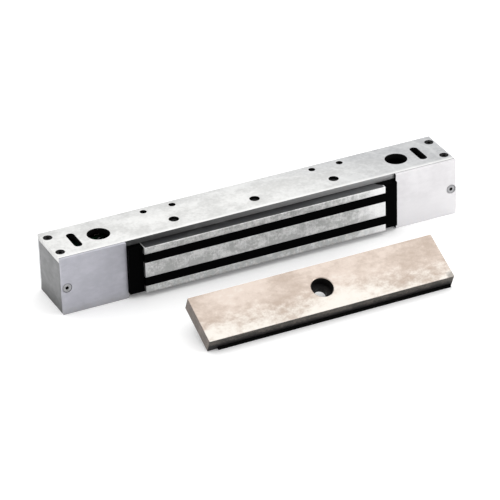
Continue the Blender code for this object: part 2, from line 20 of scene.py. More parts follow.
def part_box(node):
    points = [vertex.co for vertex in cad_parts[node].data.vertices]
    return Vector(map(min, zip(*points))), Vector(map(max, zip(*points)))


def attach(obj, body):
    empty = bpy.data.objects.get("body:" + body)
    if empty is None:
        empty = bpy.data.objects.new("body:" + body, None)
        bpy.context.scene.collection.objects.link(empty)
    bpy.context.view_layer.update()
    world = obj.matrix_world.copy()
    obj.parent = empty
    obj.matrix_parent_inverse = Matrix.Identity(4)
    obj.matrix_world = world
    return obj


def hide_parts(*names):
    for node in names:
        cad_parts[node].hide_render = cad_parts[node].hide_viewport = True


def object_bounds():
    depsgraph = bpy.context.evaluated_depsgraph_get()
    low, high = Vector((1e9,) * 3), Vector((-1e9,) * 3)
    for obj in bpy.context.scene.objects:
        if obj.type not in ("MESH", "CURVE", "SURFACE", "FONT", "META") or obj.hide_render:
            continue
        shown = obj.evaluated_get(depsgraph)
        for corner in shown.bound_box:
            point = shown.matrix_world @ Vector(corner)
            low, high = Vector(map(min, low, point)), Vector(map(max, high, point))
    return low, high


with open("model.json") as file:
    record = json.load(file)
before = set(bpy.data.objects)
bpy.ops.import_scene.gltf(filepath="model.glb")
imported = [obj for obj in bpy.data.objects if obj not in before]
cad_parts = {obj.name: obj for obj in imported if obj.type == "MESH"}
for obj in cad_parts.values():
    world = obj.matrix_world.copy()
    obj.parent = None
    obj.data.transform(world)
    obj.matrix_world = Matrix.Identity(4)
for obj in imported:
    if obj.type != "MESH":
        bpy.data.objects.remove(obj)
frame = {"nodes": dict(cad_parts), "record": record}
CAD_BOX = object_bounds()

LOG = logging.getLogger("magnetic_lock")
MM = 0.001
SEED = 7
SQUARE = 0.9  # least cosine of a face that looks along an axis

Colour = tuple[float, float, float]
Point = tuple[float, float, float]
Face = bpy.types.MeshPolygon
Material = bpy.types.Material


class Body(Enum):
    """The rigid bodies of the frame that a piece can ride on."""

    LOCK = "lock_body"
    ARMATURE = "armature"
    LEFT_COVER = "left_cover"
    RIGHT_COVER = "right_cover"
    LEFT_COVER_SCREW = "left_cover_screw"
    RIGHT_COVER_SCREW = "right_cover_screw"
    LEFT_TERMINAL_SCREW = "left_terminal_screw"
    MIDDLE_TERMINAL_SCREW = "middle_terminal_screw"
    RIGHT_TERMINAL_SCREW = "right_terminal_screw"
    JUMPER = "jumper"


class Slot(Enum):
    """The record's material slots."""

    SATIN = "satin_aluminium"
    SHEET = "brushed_aluminium"
    ZINC = "bright_zinc_steel"
    BLACK_OXIDE = "black_oxide_steel"
    STEEL = "ground_steel"
    COPPER = "enamelled_copper"
    RESIN = "black_epoxy"
    BOARD = "green_circuit_board"
    NYLON = "white_nylon"
    TERMINAL = "green_polyamide"
    PLASTIC = "black_polyester"
    VARISTOR = "blue_epoxy"
    PLATED = "plated_steel"


class Facing(Enum):
    """The ways that a fastener's head can face."""

    FRONT = (0.0, -1.0, 0.0)
    BACK = (0.0, 1.0, 0.0)
    UP = (0.0, 0.0, 1.0)
    DOWN = (0.0, 0.0, -1.0)


# ---------------------------------------------------------------- node trees


class NodeBench:
    """Adds nodes to a tree of any kind through one method."""

    def __init__(self, tree: bpy.types.NodeTree) -> None:
        """Take the tree to build in."""
        self.tree = tree

    def node(self, kind: str, settings: dict | None = None, inputs: dict | None = None,
             output: int | str = 0) -> "Value":
        """Add one node.

        Args:
            kind: The node's type name.
            settings: Attributes to set first, such as a Math node's operation.
            inputs: Socket names or numbers, with a number, a colour or a Value for each.
            output: The output socket that the result wraps.

        Returns:
            The output socket, wrapped.
        """
        node = self.tree.nodes.new(kind)
        for name, setting in (settings or {}).items():
            setattr(node, name, setting)
        for name, item in (inputs or {}).items():
            if isinstance(item, Value):
                self.tree.links.new(item.socket, node.inputs[name])
            else:
                node.inputs[name].default_value = item
        return Value(self, node.outputs[output] if node.outputs else None)


class Value:
    """An output socket whose arithmetic adds Math nodes."""

    def __init__(self, bench: NodeBench, socket: bpy.types.NodeSocket | None) -> None:
        """Wrap a socket of a bench's tree."""
        self.bench = bench
        self.socket = socket

    def _math(self, operation: str, first: "Value | float", second: "Value | float") -> "Value":
        """Add a Math node on two values."""
        kind = "ShaderNodeMath"
        return self.bench.node(kind, {"operation": operation}, {0: first, 1: second})

    def __add__(self, other: "Value | float") -> "Value":
        """Add."""
        return self._math("ADD", self, other)

    def __radd__(self, other: "Value | float") -> "Value":
        """Add, with the number first."""
        return self._math("ADD", other, self)

    def __sub__(self, other: "Value | float") -> "Value":
        """Subtract."""
        return self._math("SUBTRACT", self, other)

    def __rsub__(self, other: "Value | float") -> "Value":
        """Subtract from a number."""
        return self._math("SUBTRACT", other, self)

    def __mul__(self, other: "Value | float") -> "Value":
        """Multiply."""
        return self._math("MULTIPLY", self, other)

    def __rmul__(self, other: "Value | float") -> "Value":
        """Multiply, with the number first."""
        return self._math("MULTIPLY", other, self)

    def limited(self) -> "Value":
        """Clamp to the range from 0 to 1."""
        return self.bench.node("ShaderNodeClamp", None, {0: self})

    def ramp(self, low: float, high: float) -> "Value":
        """Map the stretch from low to high onto 0 to 1, smoothly and clamped."""
        settings = {"interpolation_type": "SMOOTHSTEP"}
        return self.bench.node("ShaderNodeMapRange", settings, {0: self, 1: low, 2: high})


class Shader(NodeBench):
    """A material's node tree with the patterns that the finishes share."""

    def __init__(self, name: str) -> None:
        """Start a material with an empty tree.

        Args:
            name: The material's name.
        """
        self.material = bpy.data.materials.new(name)
        self.material.use_nodes = True
        super().__init__(self.material.node_tree)
        self.tree.nodes.clear()

    def place(self, stretch: Point = (1.0, 1.0, 1.0)) -> Value:
        """Give Object coordinates, stretched along each axis."""
        spot = self.node("ShaderNodeTexCoord", output="Object")
        return self.node("ShaderNodeMapping", None, {"Vector": spot, "Scale": stretch})

    def along(self, axis: str) -> Value:
        """Give one Object coordinate, in metres."""
        spot = self.node("ShaderNodeTexCoord", output="Object")
        return self.node("ShaderNodeSeparateXYZ", None, {0: spot}, output=axis)

    def noise(self, size: float, detail: float = 3.0, rough: float = 0.5,
              stretch: Point = (1.0, 1.0, 1.0)) -> Value:
        """Give a noise between 0 and 1.

        Args:
            size: Size of its largest features, in millimetres.
            detail: Octaves of finer noise.
            rough: Strength of the finer noise.
            stretch: Scale of the coordinates along each axis; below 1 draws features out.

        Returns:
            The noise.
        """
        inputs = {"Vector": self.place(stretch), "Scale": 1.0 / (size * MM),
                  "Detail": detail, "Roughness": rough}
        return self.node("ShaderNodeTexNoise", None, inputs)

    def cells(self, size: float, stretch: Point = (1.0, 1.0, 1.0)) -> Value:
        """Give the distance to the nearest of scattered points, in cells of a size in millimetres."""
        inputs = {"Vector": self.place(stretch), "Scale": 1.0 / (size * MM)}
        return self.node("ShaderNodeTexVoronoi", None, inputs, output="Distance")

    def mix(self, share: Value | float, first: Colour | Value, second: Colour | Value) -> Value:
        """Blend two colours.

        Args:
            share: How much of the second colour, from 0 to 1.
            first: One colour.
            second: The other.

        Returns:
            The blend.
        """
        parts = [(*part, 1.0) if isinstance(part, tuple) else part for part in (first, second)]
        settings = {"data_type": "RGBA"}
        return self.node("ShaderNodeMix", settings, {0: share, 6: parts[0], 7: parts[1]}, output=2)

    def bump(self, height: Value, depth: float, normal: Value | None = None) -> Value:
        """Turn a height into a normal.

        Args:
            height: The height, from 0 to 1.
            depth: How deep a height of 1 is, in millimetres.
            normal: The normal that it adds to, if any.

        Returns:
            The bumped normal.
        """
        inputs = {"Height": height, "Distance": depth * MM, "Strength": 1.0}
        if normal is not None:
            inputs["Normal"] = normal
        return self.node("ShaderNodeBump", None, inputs)

    def finish(self, colour: Colour | Value, metallic: float, roughness: float | Value,
               normal: Value | None = None, gloss: float = 0.5,
               glow: float = 0.0) -> Material:
        """Close the tree with a Principled shader.

        Args:
            colour: Base colour.
            metallic: 1 for bare metal.
            roughness: Roughness.
            normal: The bumped normal, if any.
            gloss: Specular level.
            glow: Strength of a white glow of its own.

        Returns:
            The material.
        """
        inputs = {"Base Color": (*colour, 1.0) if isinstance(colour, tuple) else colour,
                  "Metallic": metallic, "Roughness": roughness,
                  "Specular IOR Level": gloss, "Emission Strength": glow}
        if normal is not None:
            inputs["Normal"] = normal
        surface = self.node("ShaderNodeBsdfPrincipled", None, inputs)
        self.node("ShaderNodeOutputMaterial", None, {"Surface": surface})
        return self.material


# ------------------------------------------------------------------ finishes


class Finish:
    """A surface that can be made a material."""

    name: str

    def make(self) -> Material:
        """Make the material."""
        raise NotImplementedError


@cache
def coat(finish: Finish) -> Material:
    """Give a finish's material, made at its first use."""
    return finish.make()


@dataclass(frozen=True)
class SatinPlate(Finish):
    """Pale etched aluminium: faint clouds and swirls, a painted highlight along its front edge, and
    painted shade toward its right end and its back.
    """

    name: str = "satin_plate"
    pale: Colour = (0.67, 0.67, 0.66)
    dull: Colour = (0.54, 0.54, 0.53)
    painted_shade_pale: Colour = (0.46, 0.465, 0.47)
    painted_shade_dull: Colour = (0.37, 0.375, 0.385)
    painted_highlight: Colour = (0.76, 0.76, 0.75)
    roughness: float = 0.36

    def make(self) -> Material:
        """Build the material.

        Returns:
            The material.
        """
        shade = Shader(self.name)
        clouds = shade.noise(15.0, 4.0, 0.6, (0.7, 1.0, 1.0))
        specks = shade.noise(2.4, 4.0, 0.7)
        wear = (clouds * 0.6 + specks * 0.4).ramp(0.38, 0.62)
        near = shade.mix(wear, self.dull, self.pale)
        # Painted shade: the plate turns to the darker shade tones toward its right end and its back.
        shade_tones = shade.mix(wear, self.painted_shade_dull, self.painted_shade_pale)
        painted_light_shade_drift = (shade.along("X") + (clouds - 0.5) * 0.08 + shade.along("Y") * 0.6).ramp(0.02, 0.19)
        painted_light_shade_drift = (painted_light_shade_drift + shade.along("Y").ramp(0.050, 0.068) * 0.25).limited()
        arcs = shade.node("ShaderNodeTexWave",
                          {"wave_type": "RINGS", "rings_direction": "Z", "wave_profile": "SIN"},
                          {"Vector": shade.place(), "Scale": 26.0, "Distortion": 5.0,
                           "Detail": 1.0, "Detail Scale": 1.2}, output="Fac").ramp(0.80, 1.0)
        # Painted highlight: a bright band along the front edge; the faint swirl marks take the same
        # bright colour.
        edge = 1.0 - (shade.along("Y") + specks * 0.002).ramp(0.0300, 0.0345)
        highlight_share = (edge * 0.9 + arcs * clouds * 0.22).limited()
        colour = shade.mix(highlight_share, shade.mix(painted_light_shade_drift, near, shade_tones), self.painted_highlight)
        grain = shade.noise(0.5, 2.0, 0.5, (0.25, 1.0, 1.0))
        normal = shade.bump(grain * 0.6 + specks * 0.4, 0.012)
        return shade.finish(colour, 1.0, self.roughness + (1.0 - wear) * 0.10, normal)


@dataclass(frozen=True)
class SheetMetal(Finish):
    """Satin aluminium sheet, a little cloudy, with a fine rolled grain and its foot painted darker as
    shade, or lighter as painted light.
    """

    name: str
    light: Colour
    dark: Colour
    foot: Colour
    painted_foot_height: float = 9.0
    roughness: float = 0.42

    def make(self) -> Material:
        """Build the material.

        Returns:
            The material.
        """
        shade = Shader(self.name)
        clouds = shade.noise(18.0, 3.0, 0.55)
        smears = shade.noise(4.0, 4.0, 0.6, (0.6, 0.6, 1.3))
        tone = (clouds * 0.6 + smears * 0.4).ramp(0.36, 0.66)
        # Painted shade or light: the foot takes its own colour up to the painted foot height.
        rise = (shade.along("Z") + (smears - 0.5) * 0.006).ramp(-0.002, self.painted_foot_height * MM)
        colour = shade.mix(rise, self.foot, shade.mix(tone, self.dark, self.light))
        grain = shade.noise(0.45, 3.0, 0.55, (0.08, 0.08, 1.0))
        normal = shade.bump(grain, 0.010)
        rough = self.roughness + (grain - 0.5) * 0.10 + (1.0 - tone) * 0.06
        return shade.finish(colour, 1.0, rough, normal)


@dataclass(frozen=True)
class GroundSteel(Finish):
    """Ground faces of the laminated core: neutral grey and patchy, brighter at the right end as
    painted light and darker low down as painted shade.
    """

    name: str = "ground_core_steel"
    light: Colour = (0.80, 0.80, 0.795)
    dark: Colour = (0.43, 0.435, 0.43)
    painted_light_tone: Colour = (0.80, 0.80, 0.80)

    def make(self) -> Material:
        """Build the material.

        Returns:
            The material.
        """
        shade = Shader(self.name)
        patches = shade.noise(7.0, 4.0, 0.62, (0.7, 1.0, 1.0))
        flecks = shade.noise(1.8, 4.0, 0.7)
        lines = shade.noise(0.9, 2.0, 0.5, (1.0, 0.05, 0.05))
        tone = (patches * 0.55 + flecks * 0.35 + lines * 0.1).ramp(0.38, 0.62)
        # Painted light: the right end turns to a brighter tone.
        ends = (shade.along("X") + (patches - 0.5) * 0.03).ramp(0.064, 0.095)
        # Painted shade: darker toward the bottom of the core.
        low = (1.0 - shade.along("Z").ramp(0.008, 0.034)) * 0.45
        steel = shade.mix((tone - low).limited(), self.dark, self.light)
        colour = shade.mix(ends * 0.9, steel, self.painted_light_tone)
        scratches = shade.noise(0.5, 3.0, 0.5, (0.05, 1.0, 1.0))
        normal = shade.bump(scratches * 0.6 + lines * 0.4, 0.010)
        return shade.finish(colour, 1.0, 0.36 + patches * 0.14, normal)


@dataclass(frozen=True)
class ShadedSteel(Finish):
    """Side faces painted near black as shade at the left end, paler to the right as painted light."""

    name: str = "painted_shade_steel"
    left: Colour = (0.030, 0.031, 0.033)
    right: Colour = (0.085, 0.086, 0.09)
    blotch: Colour = (0.085, 0.09, 0.09)
    reach: tuple[float, float] = (0.015, 0.115)

    def make(self) -> Material:
        """Build the material.

        Returns:
            The material.
        """
        shade = Shader(self.name)
        # Painted light: paler toward the right end.
        painted_light_shade_drift = shade.along("X").ramp(*self.reach)
        blotches = shade.noise(10.0, 4.0, 0.6, (0.4, 1.0, 1.0)).ramp(0.48, 0.72)
        base = shade.mix(painted_light_shade_drift, self.left, self.right)
        colour = shade.mix(blotches * 0.7, base, self.blotch)
        normal = shade.bump(shade.noise(0.7, 3.0, 0.6, (1.0, 0.1, 0.1)), 0.02)
        return shade.finish(colour, 0.6, 0.42 + blotches * 0.15, normal)


@dataclass(frozen=True)
class CastResin(Finish):
    """Black potting resin, slightly wavy, with a few pin holes."""

    name: str = "black_potting_resin"
    colour: Colour = (0.0007, 0.0007, 0.0008)
    gloss: float = 0.012

    def make(self) -> Material:
        """Build the material.

        Returns:
            The material.
        """
        shade = Shader(self.name)
        waves = shade.noise(4.0, 2.0, 0.5)
        pits = shade.cells(2.6).ramp(0.05, 0.16)
        normal = shade.bump(pits, 0.06, shade.bump(waves, 0.10))
        return shade.finish(self.colour, 0.0, 0.46 + waves * 0.15, normal, self.gloss)


@dataclass(frozen=True)
class ArmatureFace(Finish):
    """Warm plated face of the armature plate, pinkish with cream patches and one scuffed corner."""

    corner: Point
    name: str = "warm_plated_face"
    pink: Colour = (0.655, 0.565, 0.50)
    tan: Colour = (0.47, 0.385, 0.325)
    cream: Colour = (0.74, 0.705, 0.65)
    scuff: Colour = (0.36, 0.335, 0.305)

    def make(self) -> Material:
        """Build the material.

        Returns:
            The material.
        """
        shade = Shader(self.name)
        clouds = shade.noise(22.0, 5.0, 0.62, (0.6, 1.0, 1.0))
        flecks = shade.noise(5.0, 5.0, 0.68, (0.7, 1.0, 1.0))
        drifts = shade.noise(34.0, 2.0, 0.5, (0.8, 1.0, 1.0))
        specks = shade.noise(1.3, 4.0, 0.7)
        rightness = shade.along("X").ramp(0.0, 0.09)
        mottle = clouds * 0.50 + flecks * 0.38 + specks * 0.12 + (drifts - 0.5) * 0.5
        tone = (mottle - rightness * 0.07).ramp(0.36, 0.62)
        base = shade.mix(tone, self.tan, self.pink)
        nearness = (shade.along("Y") * -1.0).ramp(0.040, 0.070)
        spread = nearness * 0.26 + flecks * 0.5 + specks * 0.1 + clouds * 0.3 + drifts * 0.3
        patches = (spread - rightness * 0.07).ramp(0.66, 0.90)
        place = {0: shade.place(), 1: Vector(self.corner) * MM}
        away = shade.node("ShaderNodeVectorMath", {"operation": "DISTANCE"}, place, output="Value")
        worn = 1.0 - (away + (flecks - 0.5) * 0.007).ramp(0.0035, 0.0065)
        colour = shade.mix(worn, shade.mix(patches, base, self.cream), self.scuff)
        grain = shade.noise(0.5, 3.0, 0.5, (0.08, 1.0, 1.0))
        normal = shade.bump(specks, 0.020, shade.bump(grain * 0.5 + flecks * 0.5, 0.016))
        return shade.finish(colour, 0.85, 0.44 - patches * 0.08, normal)


@dataclass(frozen=True)
class ScaledSteel(Finish):
    """Dark brown mill scale, painted near black as shade below a line on the side in front of the
    foot, if any.
    """

    name: str
    brown: Colour
    ash: Colour
    foot_shade_colour: Colour = (0.006, 0.005, 0.005)
    shade_line: tuple[float, float] = (3.5, 6.8)
    foot: float | None = None

    def make(self) -> Material:
        """Build the material.

        Returns:
            The material.
        """
        shade = Shader(self.name)
        grit = shade.noise(1.6, 4.0, 0.7)
        patches = (shade.noise(5.0, 4.0, 0.65, (0.5, 1.0, 1.0)) * 0.5 + grit * 0.5).ramp(0.43, 0.59)
        colour = shade.mix(patches, self.ash, self.brown)
        if self.foot is not None:
            # Painted shade: near black low on the side in front of the foot, where the contact shadow
            # falls; faces behind the foot keep their colour.
            low, high = self.shade_line
            unshaded = (shade.along("Z") + (patches - 0.5) * 0.0012).ramp(low * MM, high * MM)
            behind = shade.along("Y").ramp((self.foot - 0.8) * MM, (self.foot + 0.4) * MM)
            colour = shade.mix((unshaded + behind).limited(), self.foot_shade_colour, colour)
        normal = shade.bump(shade.noise(1.2, 4.0, 0.6), 0.05)
        return shade.finish(colour, 0.35, 0.55 + patches * 0.1, normal)


@dataclass(frozen=True)
class PlainMetal(Finish):
    """Small metal parts: one tone with fine machining marks and light wear."""

    name: str
    colour: Colour
    worn: Colour
    roughness: float
    metallic: float = 1.0
    gloss: float = 0.5

    def make(self) -> Material:
        """Build the material.

        Returns:
            The material.
        """
        shade = Shader(self.name)
        wear = shade.noise(2.2, 4.0, 0.6).ramp(0.45, 0.75)
        colour = shade.mix(wear, self.colour, self.worn)
        marks = shade.bump(shade.noise(0.25, 2.0, 0.5), 0.006)
        return shade.finish(colour, self.metallic, self.roughness + wear * 0.12, marks, self.gloss)


@dataclass(frozen=True)
class MouldedPlastic(Finish):
    """Moulded plastic with a fine spark-eroded texture."""

    name: str
    colour: Colour
    pale: Colour
    roughness: float = 0.45
    gloss: float = 0.5

    def make(self) -> Material:
        """Build the material.

        Returns:
            The material.
        """
        shade = Shader(self.name)
        colour = shade.mix(shade.noise(6.0, 3.0, 0.5), self.colour, self.pale)
        texture = shade.noise(0.3, 2.0, 0.6)
        rough = self.roughness + texture * 0.12
        return shade.finish(colour, 0.0, rough, shade.bump(texture, 0.012), self.gloss)


@dataclass(frozen=True)
class SolderMask(Finish):
    """Green solder mask over raised copper tracks."""

    name: str = "green_solder_mask"
    # The green is darkened as painted shade inside the compartment.
    mask: Colour = (0.003, 0.028, 0.011)
    over_copper: Colour = (0.008, 0.060, 0.022)
    track_pitch: float = 4.2

    def make(self) -> Material:
        """Build the material.

        Returns:
            The material.
        """
        shade = Shader(self.name)
        settings = {"feature": "F1", "distance": "MANHATTAN"}
        inputs = {"Vector": shade.place(), "Scale": 1.0 / (self.track_pitch * MM), "Randomness": 0.35}
        cell = shade.node("ShaderNodeTexVoronoi", settings, inputs, output="Distance")
        tracks = cell.ramp(0.52, 0.58)
        colour = shade.mix(tracks, self.mask, self.over_copper)
        return shade.finish(colour, 0.0, 0.30 + tracks * 0.1, shade.bump(tracks, 0.03))


# ------------------------------------------------------------------- solids


def show(name: str, data: bpy.types.ID) -> bpy.types.Object:
    """Put an object in the scene.

    Args:
        name: Its name.
        data: Its mesh, camera or light.

    Returns:
        The object.
    """
    thing = bpy.data.objects.new(name, data)
    bpy.context.scene.collection.objects.link(thing)
    return thing


class Solid:
    """A closed mesh being made, in metres."""

    def __init__(self, mesh: bpy.types.Mesh) -> None:
        """Hold a mesh in a working object."""
        self.object = show("solid", mesh)

    @classmethod
    def from_bmesh(cls, bm: bmesh.types.BMesh) -> "Solid":
        """Take over a bmesh, with its faces turned outwards.

        Args:
            bm: The bmesh, which is used up.

        Returns:
            The solid.
        """
        bmesh.ops.recalc_face_normals(bm, faces=bm.faces)
        mesh = bpy.data.meshes.new("solid")
        bm.to_mesh(mesh)
        bm.free()
        return cls(mesh)

    @classmethod
    def block(cls, low: Sequence[float], high: Sequence[float]) -> "Solid":
        """Make a box.

        Args:
            low: Its lowest corner, in millimetres.
            high: Its highest corner.

        Returns:
            The box.
        """
        low = Vector(low)
        high = Vector(high)
        bm = bmesh.new()
        bmesh.ops.create_cube(bm, size=1.0)
        bmesh.ops.scale(bm, vec=(high - low) * MM, verts=bm.verts)
        bmesh.ops.translate(bm, vec=(high + low) / 2 * MM, verts=bm.verts)
        return cls.from_bmesh(bm)

    @classmethod
    def rod(cls, radius: float, low: float, high: float, sides: int = 64) -> "Solid":
        """Make a cylinder about Z between two heights, in millimetres."""
        return cls.lathe([(0.0, low), (radius, low), (radius, high), (0.0, high)], sides)

    @classmethod
    def lathe(cls, profile: Sequence[tuple[float, float]], sides: int = 64) -> "Solid":
        """Spin a profile about Z.

        Args:
            profile: Radii and heights in millimetres, from axis to axis.
            sides: Facets round the axis.

        Returns:
            The turned solid.
        """
        bm = bmesh.new()
        points = [bm.verts.new(Vector((radius, 0.0, z)) * MM) for radius, z in profile]
        edges = [bm.edges.new(pair) for pair in zip(points, points[1:])]
        bmesh.ops.spin(bm, geom=points + edges, cent=(0, 0, 0), axis=(0, 0, 1),
                       angle=2 * math.pi, steps=sides, use_merge=True)
        bmesh.ops.remove_doubles(bm, verts=bm.verts, dist=0.001 * MM)
        return cls.from_bmesh(bm)

    @classmethod
    def extrude(cls, outline: Sequence[Point], along: Point) -> "Solid":
        """Extrude a flat outline.

        Args:
            outline: Its points, in millimetres.
            along: How far its face moves.

        Returns:
            The prism.
        """
        bm = bmesh.new()
        face = bm.faces.new([bm.verts.new(Vector(point) * MM) for point in outline])
        grown = bmesh.ops.extrude_face_region(bm, geom=[face])
        moved = [item for item in grown["geom"] if isinstance(item, bmesh.types.BMVert)]
        bmesh.ops.translate(bm, vec=Vector(along) * MM, verts=moved)
        return cls.from_bmesh(bm)

    @classmethod
    def copy_of(cls, node: str) -> "Solid":
        """Copy a CAD node's mesh, merged and with its flat faces made whole.

        Args:
            node: The node.

        Returns:
            The copy.
        """
        bm = bmesh.new()
        bm.from_mesh(frame["nodes"][node].data)
        bmesh.ops.remove_doubles(bm, verts=bm.verts, dist=0.002 * MM)
        bmesh.ops.dissolve_limit(bm, angle_limit=math.radians(1.0), verts=bm.verts, edges=bm.edges)
        return cls.from_bmesh(bm)

    def moved(self, place: Matrix) -> "Solid":
        """Move the mesh by a matrix in metres."""
        self.object.data.transform(place)
        return self

    def _boolean(self, tool: "Solid", operation: str) -> "Solid":
        """Apply a Boolean with another solid and use that one up.

        Args:
            tool: The other solid.
            operation: The Boolean's name.

        Returns:
            The solid itself.
        """
        modifier = self.object.modifiers.new("boolean", "BOOLEAN")
        modifier.operation = operation
        modifier.object = tool.object
        self.bake()
        bpy.data.objects.remove(tool.object)
        return self

    def cut(self, tool: "Solid") -> "Solid":
        """Cut another solid out."""
        return self._boolean(tool, "DIFFERENCE")

    def join(self, tool: "Solid") -> "Solid":
        """Join another solid on."""
        return self._boolean(tool, "UNION")

    def soften(self, width: float, segments: int = 2, angle: float = 40.0) -> "Solid":
        """Round the sharp edges.

        Args:
            width: Width of the rounding, in millimetres.
            segments: Its facets.
            angle: The least angle of an edge that is rounded, in degrees.

        Returns:
            The solid itself.
        """
        bevel = self.object.modifiers.new("soften", "BEVEL")
        bevel.width = width * MM
        bevel.segments = segments
        bevel.limit_method = "ANGLE"
        bevel.angle_limit = math.radians(angle)
        bevel.miter_outer = "MITER_ARC"
        self.bake()
        return self

    def bake(self) -> None:
        """Apply the modifiers to the mesh."""
        bpy.context.view_layer.update()
        graph = bpy.context.evaluated_depsgraph_get()
        mesh = bpy.data.meshes.new_from_object(self.object.evaluated_get(graph))
        self.object.modifiers.clear()
        self.object.data = mesh

    def paint(self, finishes: Sequence[Finish],
              choose: Callable[[Face], int] | None = None) -> "Solid":
        """Give the faces their materials.

        Args:
            finishes: The finishes.
            choose: Gives the number of a face's finish; without it all take the first.

        Returns:
            The solid itself.
        """
        mesh = self.object.data
        mesh.materials.clear()
        for finish in finishes:
            mesh.materials.append(coat(finish))
        for face in mesh.polygons:
            face.material_index = choose(face) if choose else 0
        return self

    def publish(self, name: str, body: Body, slot: Slot, nodes: Iterable[str] = ()) -> None:
        """Finish the piece: shade it, name it, put it on its body and hide the CAD nodes that it
        stands for.

        Args:
            name: The piece's name.
            body: The body that it rides on.
            slot: Its material slot; not used.
            nodes: The CAD nodes that it stands for.
        """
        piece = self.object
        piece.data.shade_smooth()
        piece.data.set_sharp_from_angle(angle=math.radians(32))
        level = piece.modifiers.new("level_faces", "WEIGHTED_NORMAL")
        level.keep_sharp = True
        self.bake()
        piece.name = name
        piece.data.name = name
        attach(piece, body.value)
        if nodes:
            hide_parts(*nodes)
        LOG.info("%s: %d faces on %s", name, len(piece.data.polygons), body.value)


def aim(place: Sequence[float], direction: Sequence[float]) -> Matrix:
    """Give the matrix that puts a solid's +Z along a direction at a place in millimetres."""
    turn = Vector((0.0, 0.0, 1.0)).rotation_difference(Vector(direction)).to_matrix().to_4x4()
    return Matrix.Translation(Vector(place) * MM) @ turn


def corners(node: str) -> tuple[Vector, Vector]:
    """Give a CAD node's lowest and highest corners, in millimetres."""
    low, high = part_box(node)
    return low / MM, high / MM


def own_corners(node: str, tilt: float) -> tuple[Vector, Vector]:
    """Measure a CAD node along axes that are turned about X.

    Args:
        node: The node.
        tilt: How far the axes are turned, in radians.

    Returns:
        Its lowest and highest corners on those axes, in millimetres.
    """
    turn = Matrix.Rotation(-tilt, 3, "X")
    points = [turn @ vertex.co / MM for vertex in frame["nodes"][node].data.vertices]
    spans = [[point[axis] for point in points] for axis in range(3)]
    return Vector([min(span) for span in spans]), Vector([max(span) for span in spans])


def seats(nodes: Sequence[str], facing: Facing) -> tuple[list[Vector], float, float]:
    """Measure fasteners of one size.

    Args:
        nodes: Their CAD nodes.
        facing: The way that their heads face.

    Returns:
        The places of their heads' faces, their radius and their length, in millimetres.
    """
    direction = Vector(facing.value)
    low, high = corners(nodes[0])
    length = abs((high - low).dot(direction))
    places = [sum(corners(node), Vector()) / 2 + direction * length / 2 for node in nodes]
    return places, (high.x - low.x) / 2, length


# ----------------------------------------------------- repeats, as node trees


class GeometryBench(NodeBench):
    """A Geometry Nodes tree with named inputs, run on a working object and baked."""

    def __init__(self, name: str) -> None:
        """Start a tree that takes a geometry and gives one back.

        Args:
            name: The tree's name.
        """
        tree = bpy.data.node_groups.new(name, "GeometryNodeTree")
        super().__init__(tree)
        tree.interface.new_socket("Geometry", in_out="INPUT", socket_type="NodeSocketGeometry")
        tree.interface.new_socket("Geometry", in_out="OUTPUT", socket_type="NodeSocketGeometry")
        self.entry = tree.nodes.new("NodeGroupInput")
        self.identifiers: dict[str, str] = {}

    def given(self, name: str, kind: str = "NodeSocketFloat") -> Value:
        """Add a named input.

        Args:
            name: The input's name.
            kind: Its socket's type.

        Returns:
            Its socket.
        """
        item = self.tree.interface.new_socket(name, in_out="INPUT", socket_type=kind)
        self.identifiers[name] = item.identifier
        return Value(self, self.entry.outputs[name])

    def geometry(self) -> Value:
        """Give the incoming geometry."""
        return Value(self, self.entry.outputs["Geometry"])

    def close(self, geometry: Value, finish: Finish) -> None:
        """End the tree in Realize Instances and Set Material.

        Args:
            geometry: What the tree makes.
            finish: Its finish.
        """
        real = self.node("GeometryNodeRealizeInstances", None, {"Geometry": geometry})
        inputs = {"Geometry": real, "Material": coat(finish)}
        dressed = self.node("GeometryNodeSetMaterial", None, inputs)
        self.node("NodeGroupOutput", None, {0: dressed})

    def run(self, solid: Solid, values: dict) -> Solid:
        """Run the tree on a solid and bake the result.

        Args:
            solid: The solid whose mesh goes in.
            values: Input names with their values.

        Returns:
            The same solid with the new mesh.
        """
        modifier = solid.object.modifiers.new(self.tree.name, "NODES")
        modifier.node_group = self.tree
        for name, value in values.items():
            modifier[self.identifiers[name]] = value
        solid.bake()
        return solid


@dataclass
class LaminationStack:
    """Copies one sheet along X as a pressed stack of laminations."""

    count: int
    pitch: float
    jitter: float

    def build(self, sheet: Solid, finish: Finish) -> Solid:
        """Stack the sheet.

        Args:
            sheet: One lamination, starting at the stack's left end.
            finish: The stack's finish.

        Returns:
            The stack.
        """
        bench = GeometryBench("lamination_stack")
        count = bench.given("Sheets", "NodeSocketInt")
        pitch = bench.given("Pitch")
        jitter = bench.given("Jitter")
        seed = bench.given("Seed", "NodeSocketInt")
        step = bench.node("ShaderNodeCombineXYZ", None, {"X": pitch})
        line = bench.node("GeometryNodeMeshLine", {"mode": "OFFSET"}, {"Count": count, "Offset": step})
        shift = bench.node("FunctionNodeRandomValue", {"data_type": "FLOAT"},
                           {2: jitter * -1.0, 3: jitter, "Seed": seed}, output=1)
        offset = bench.node("ShaderNodeCombineXYZ", None, {"Y": shift})
        places = bench.node("GeometryNodeSetPosition", None, {"Geometry": line, "Offset": offset})
        stack = bench.node("GeometryNodeInstanceOnPoints", None,
                           {"Points": places, "Instance": bench.geometry()})
        bench.close(stack, finish)
        values = {"Sheets": self.count, "Pitch": self.pitch * MM, "Jitter": self.jitter * MM,
                  "Seed": SEED}
        return bench.run(sheet, values)


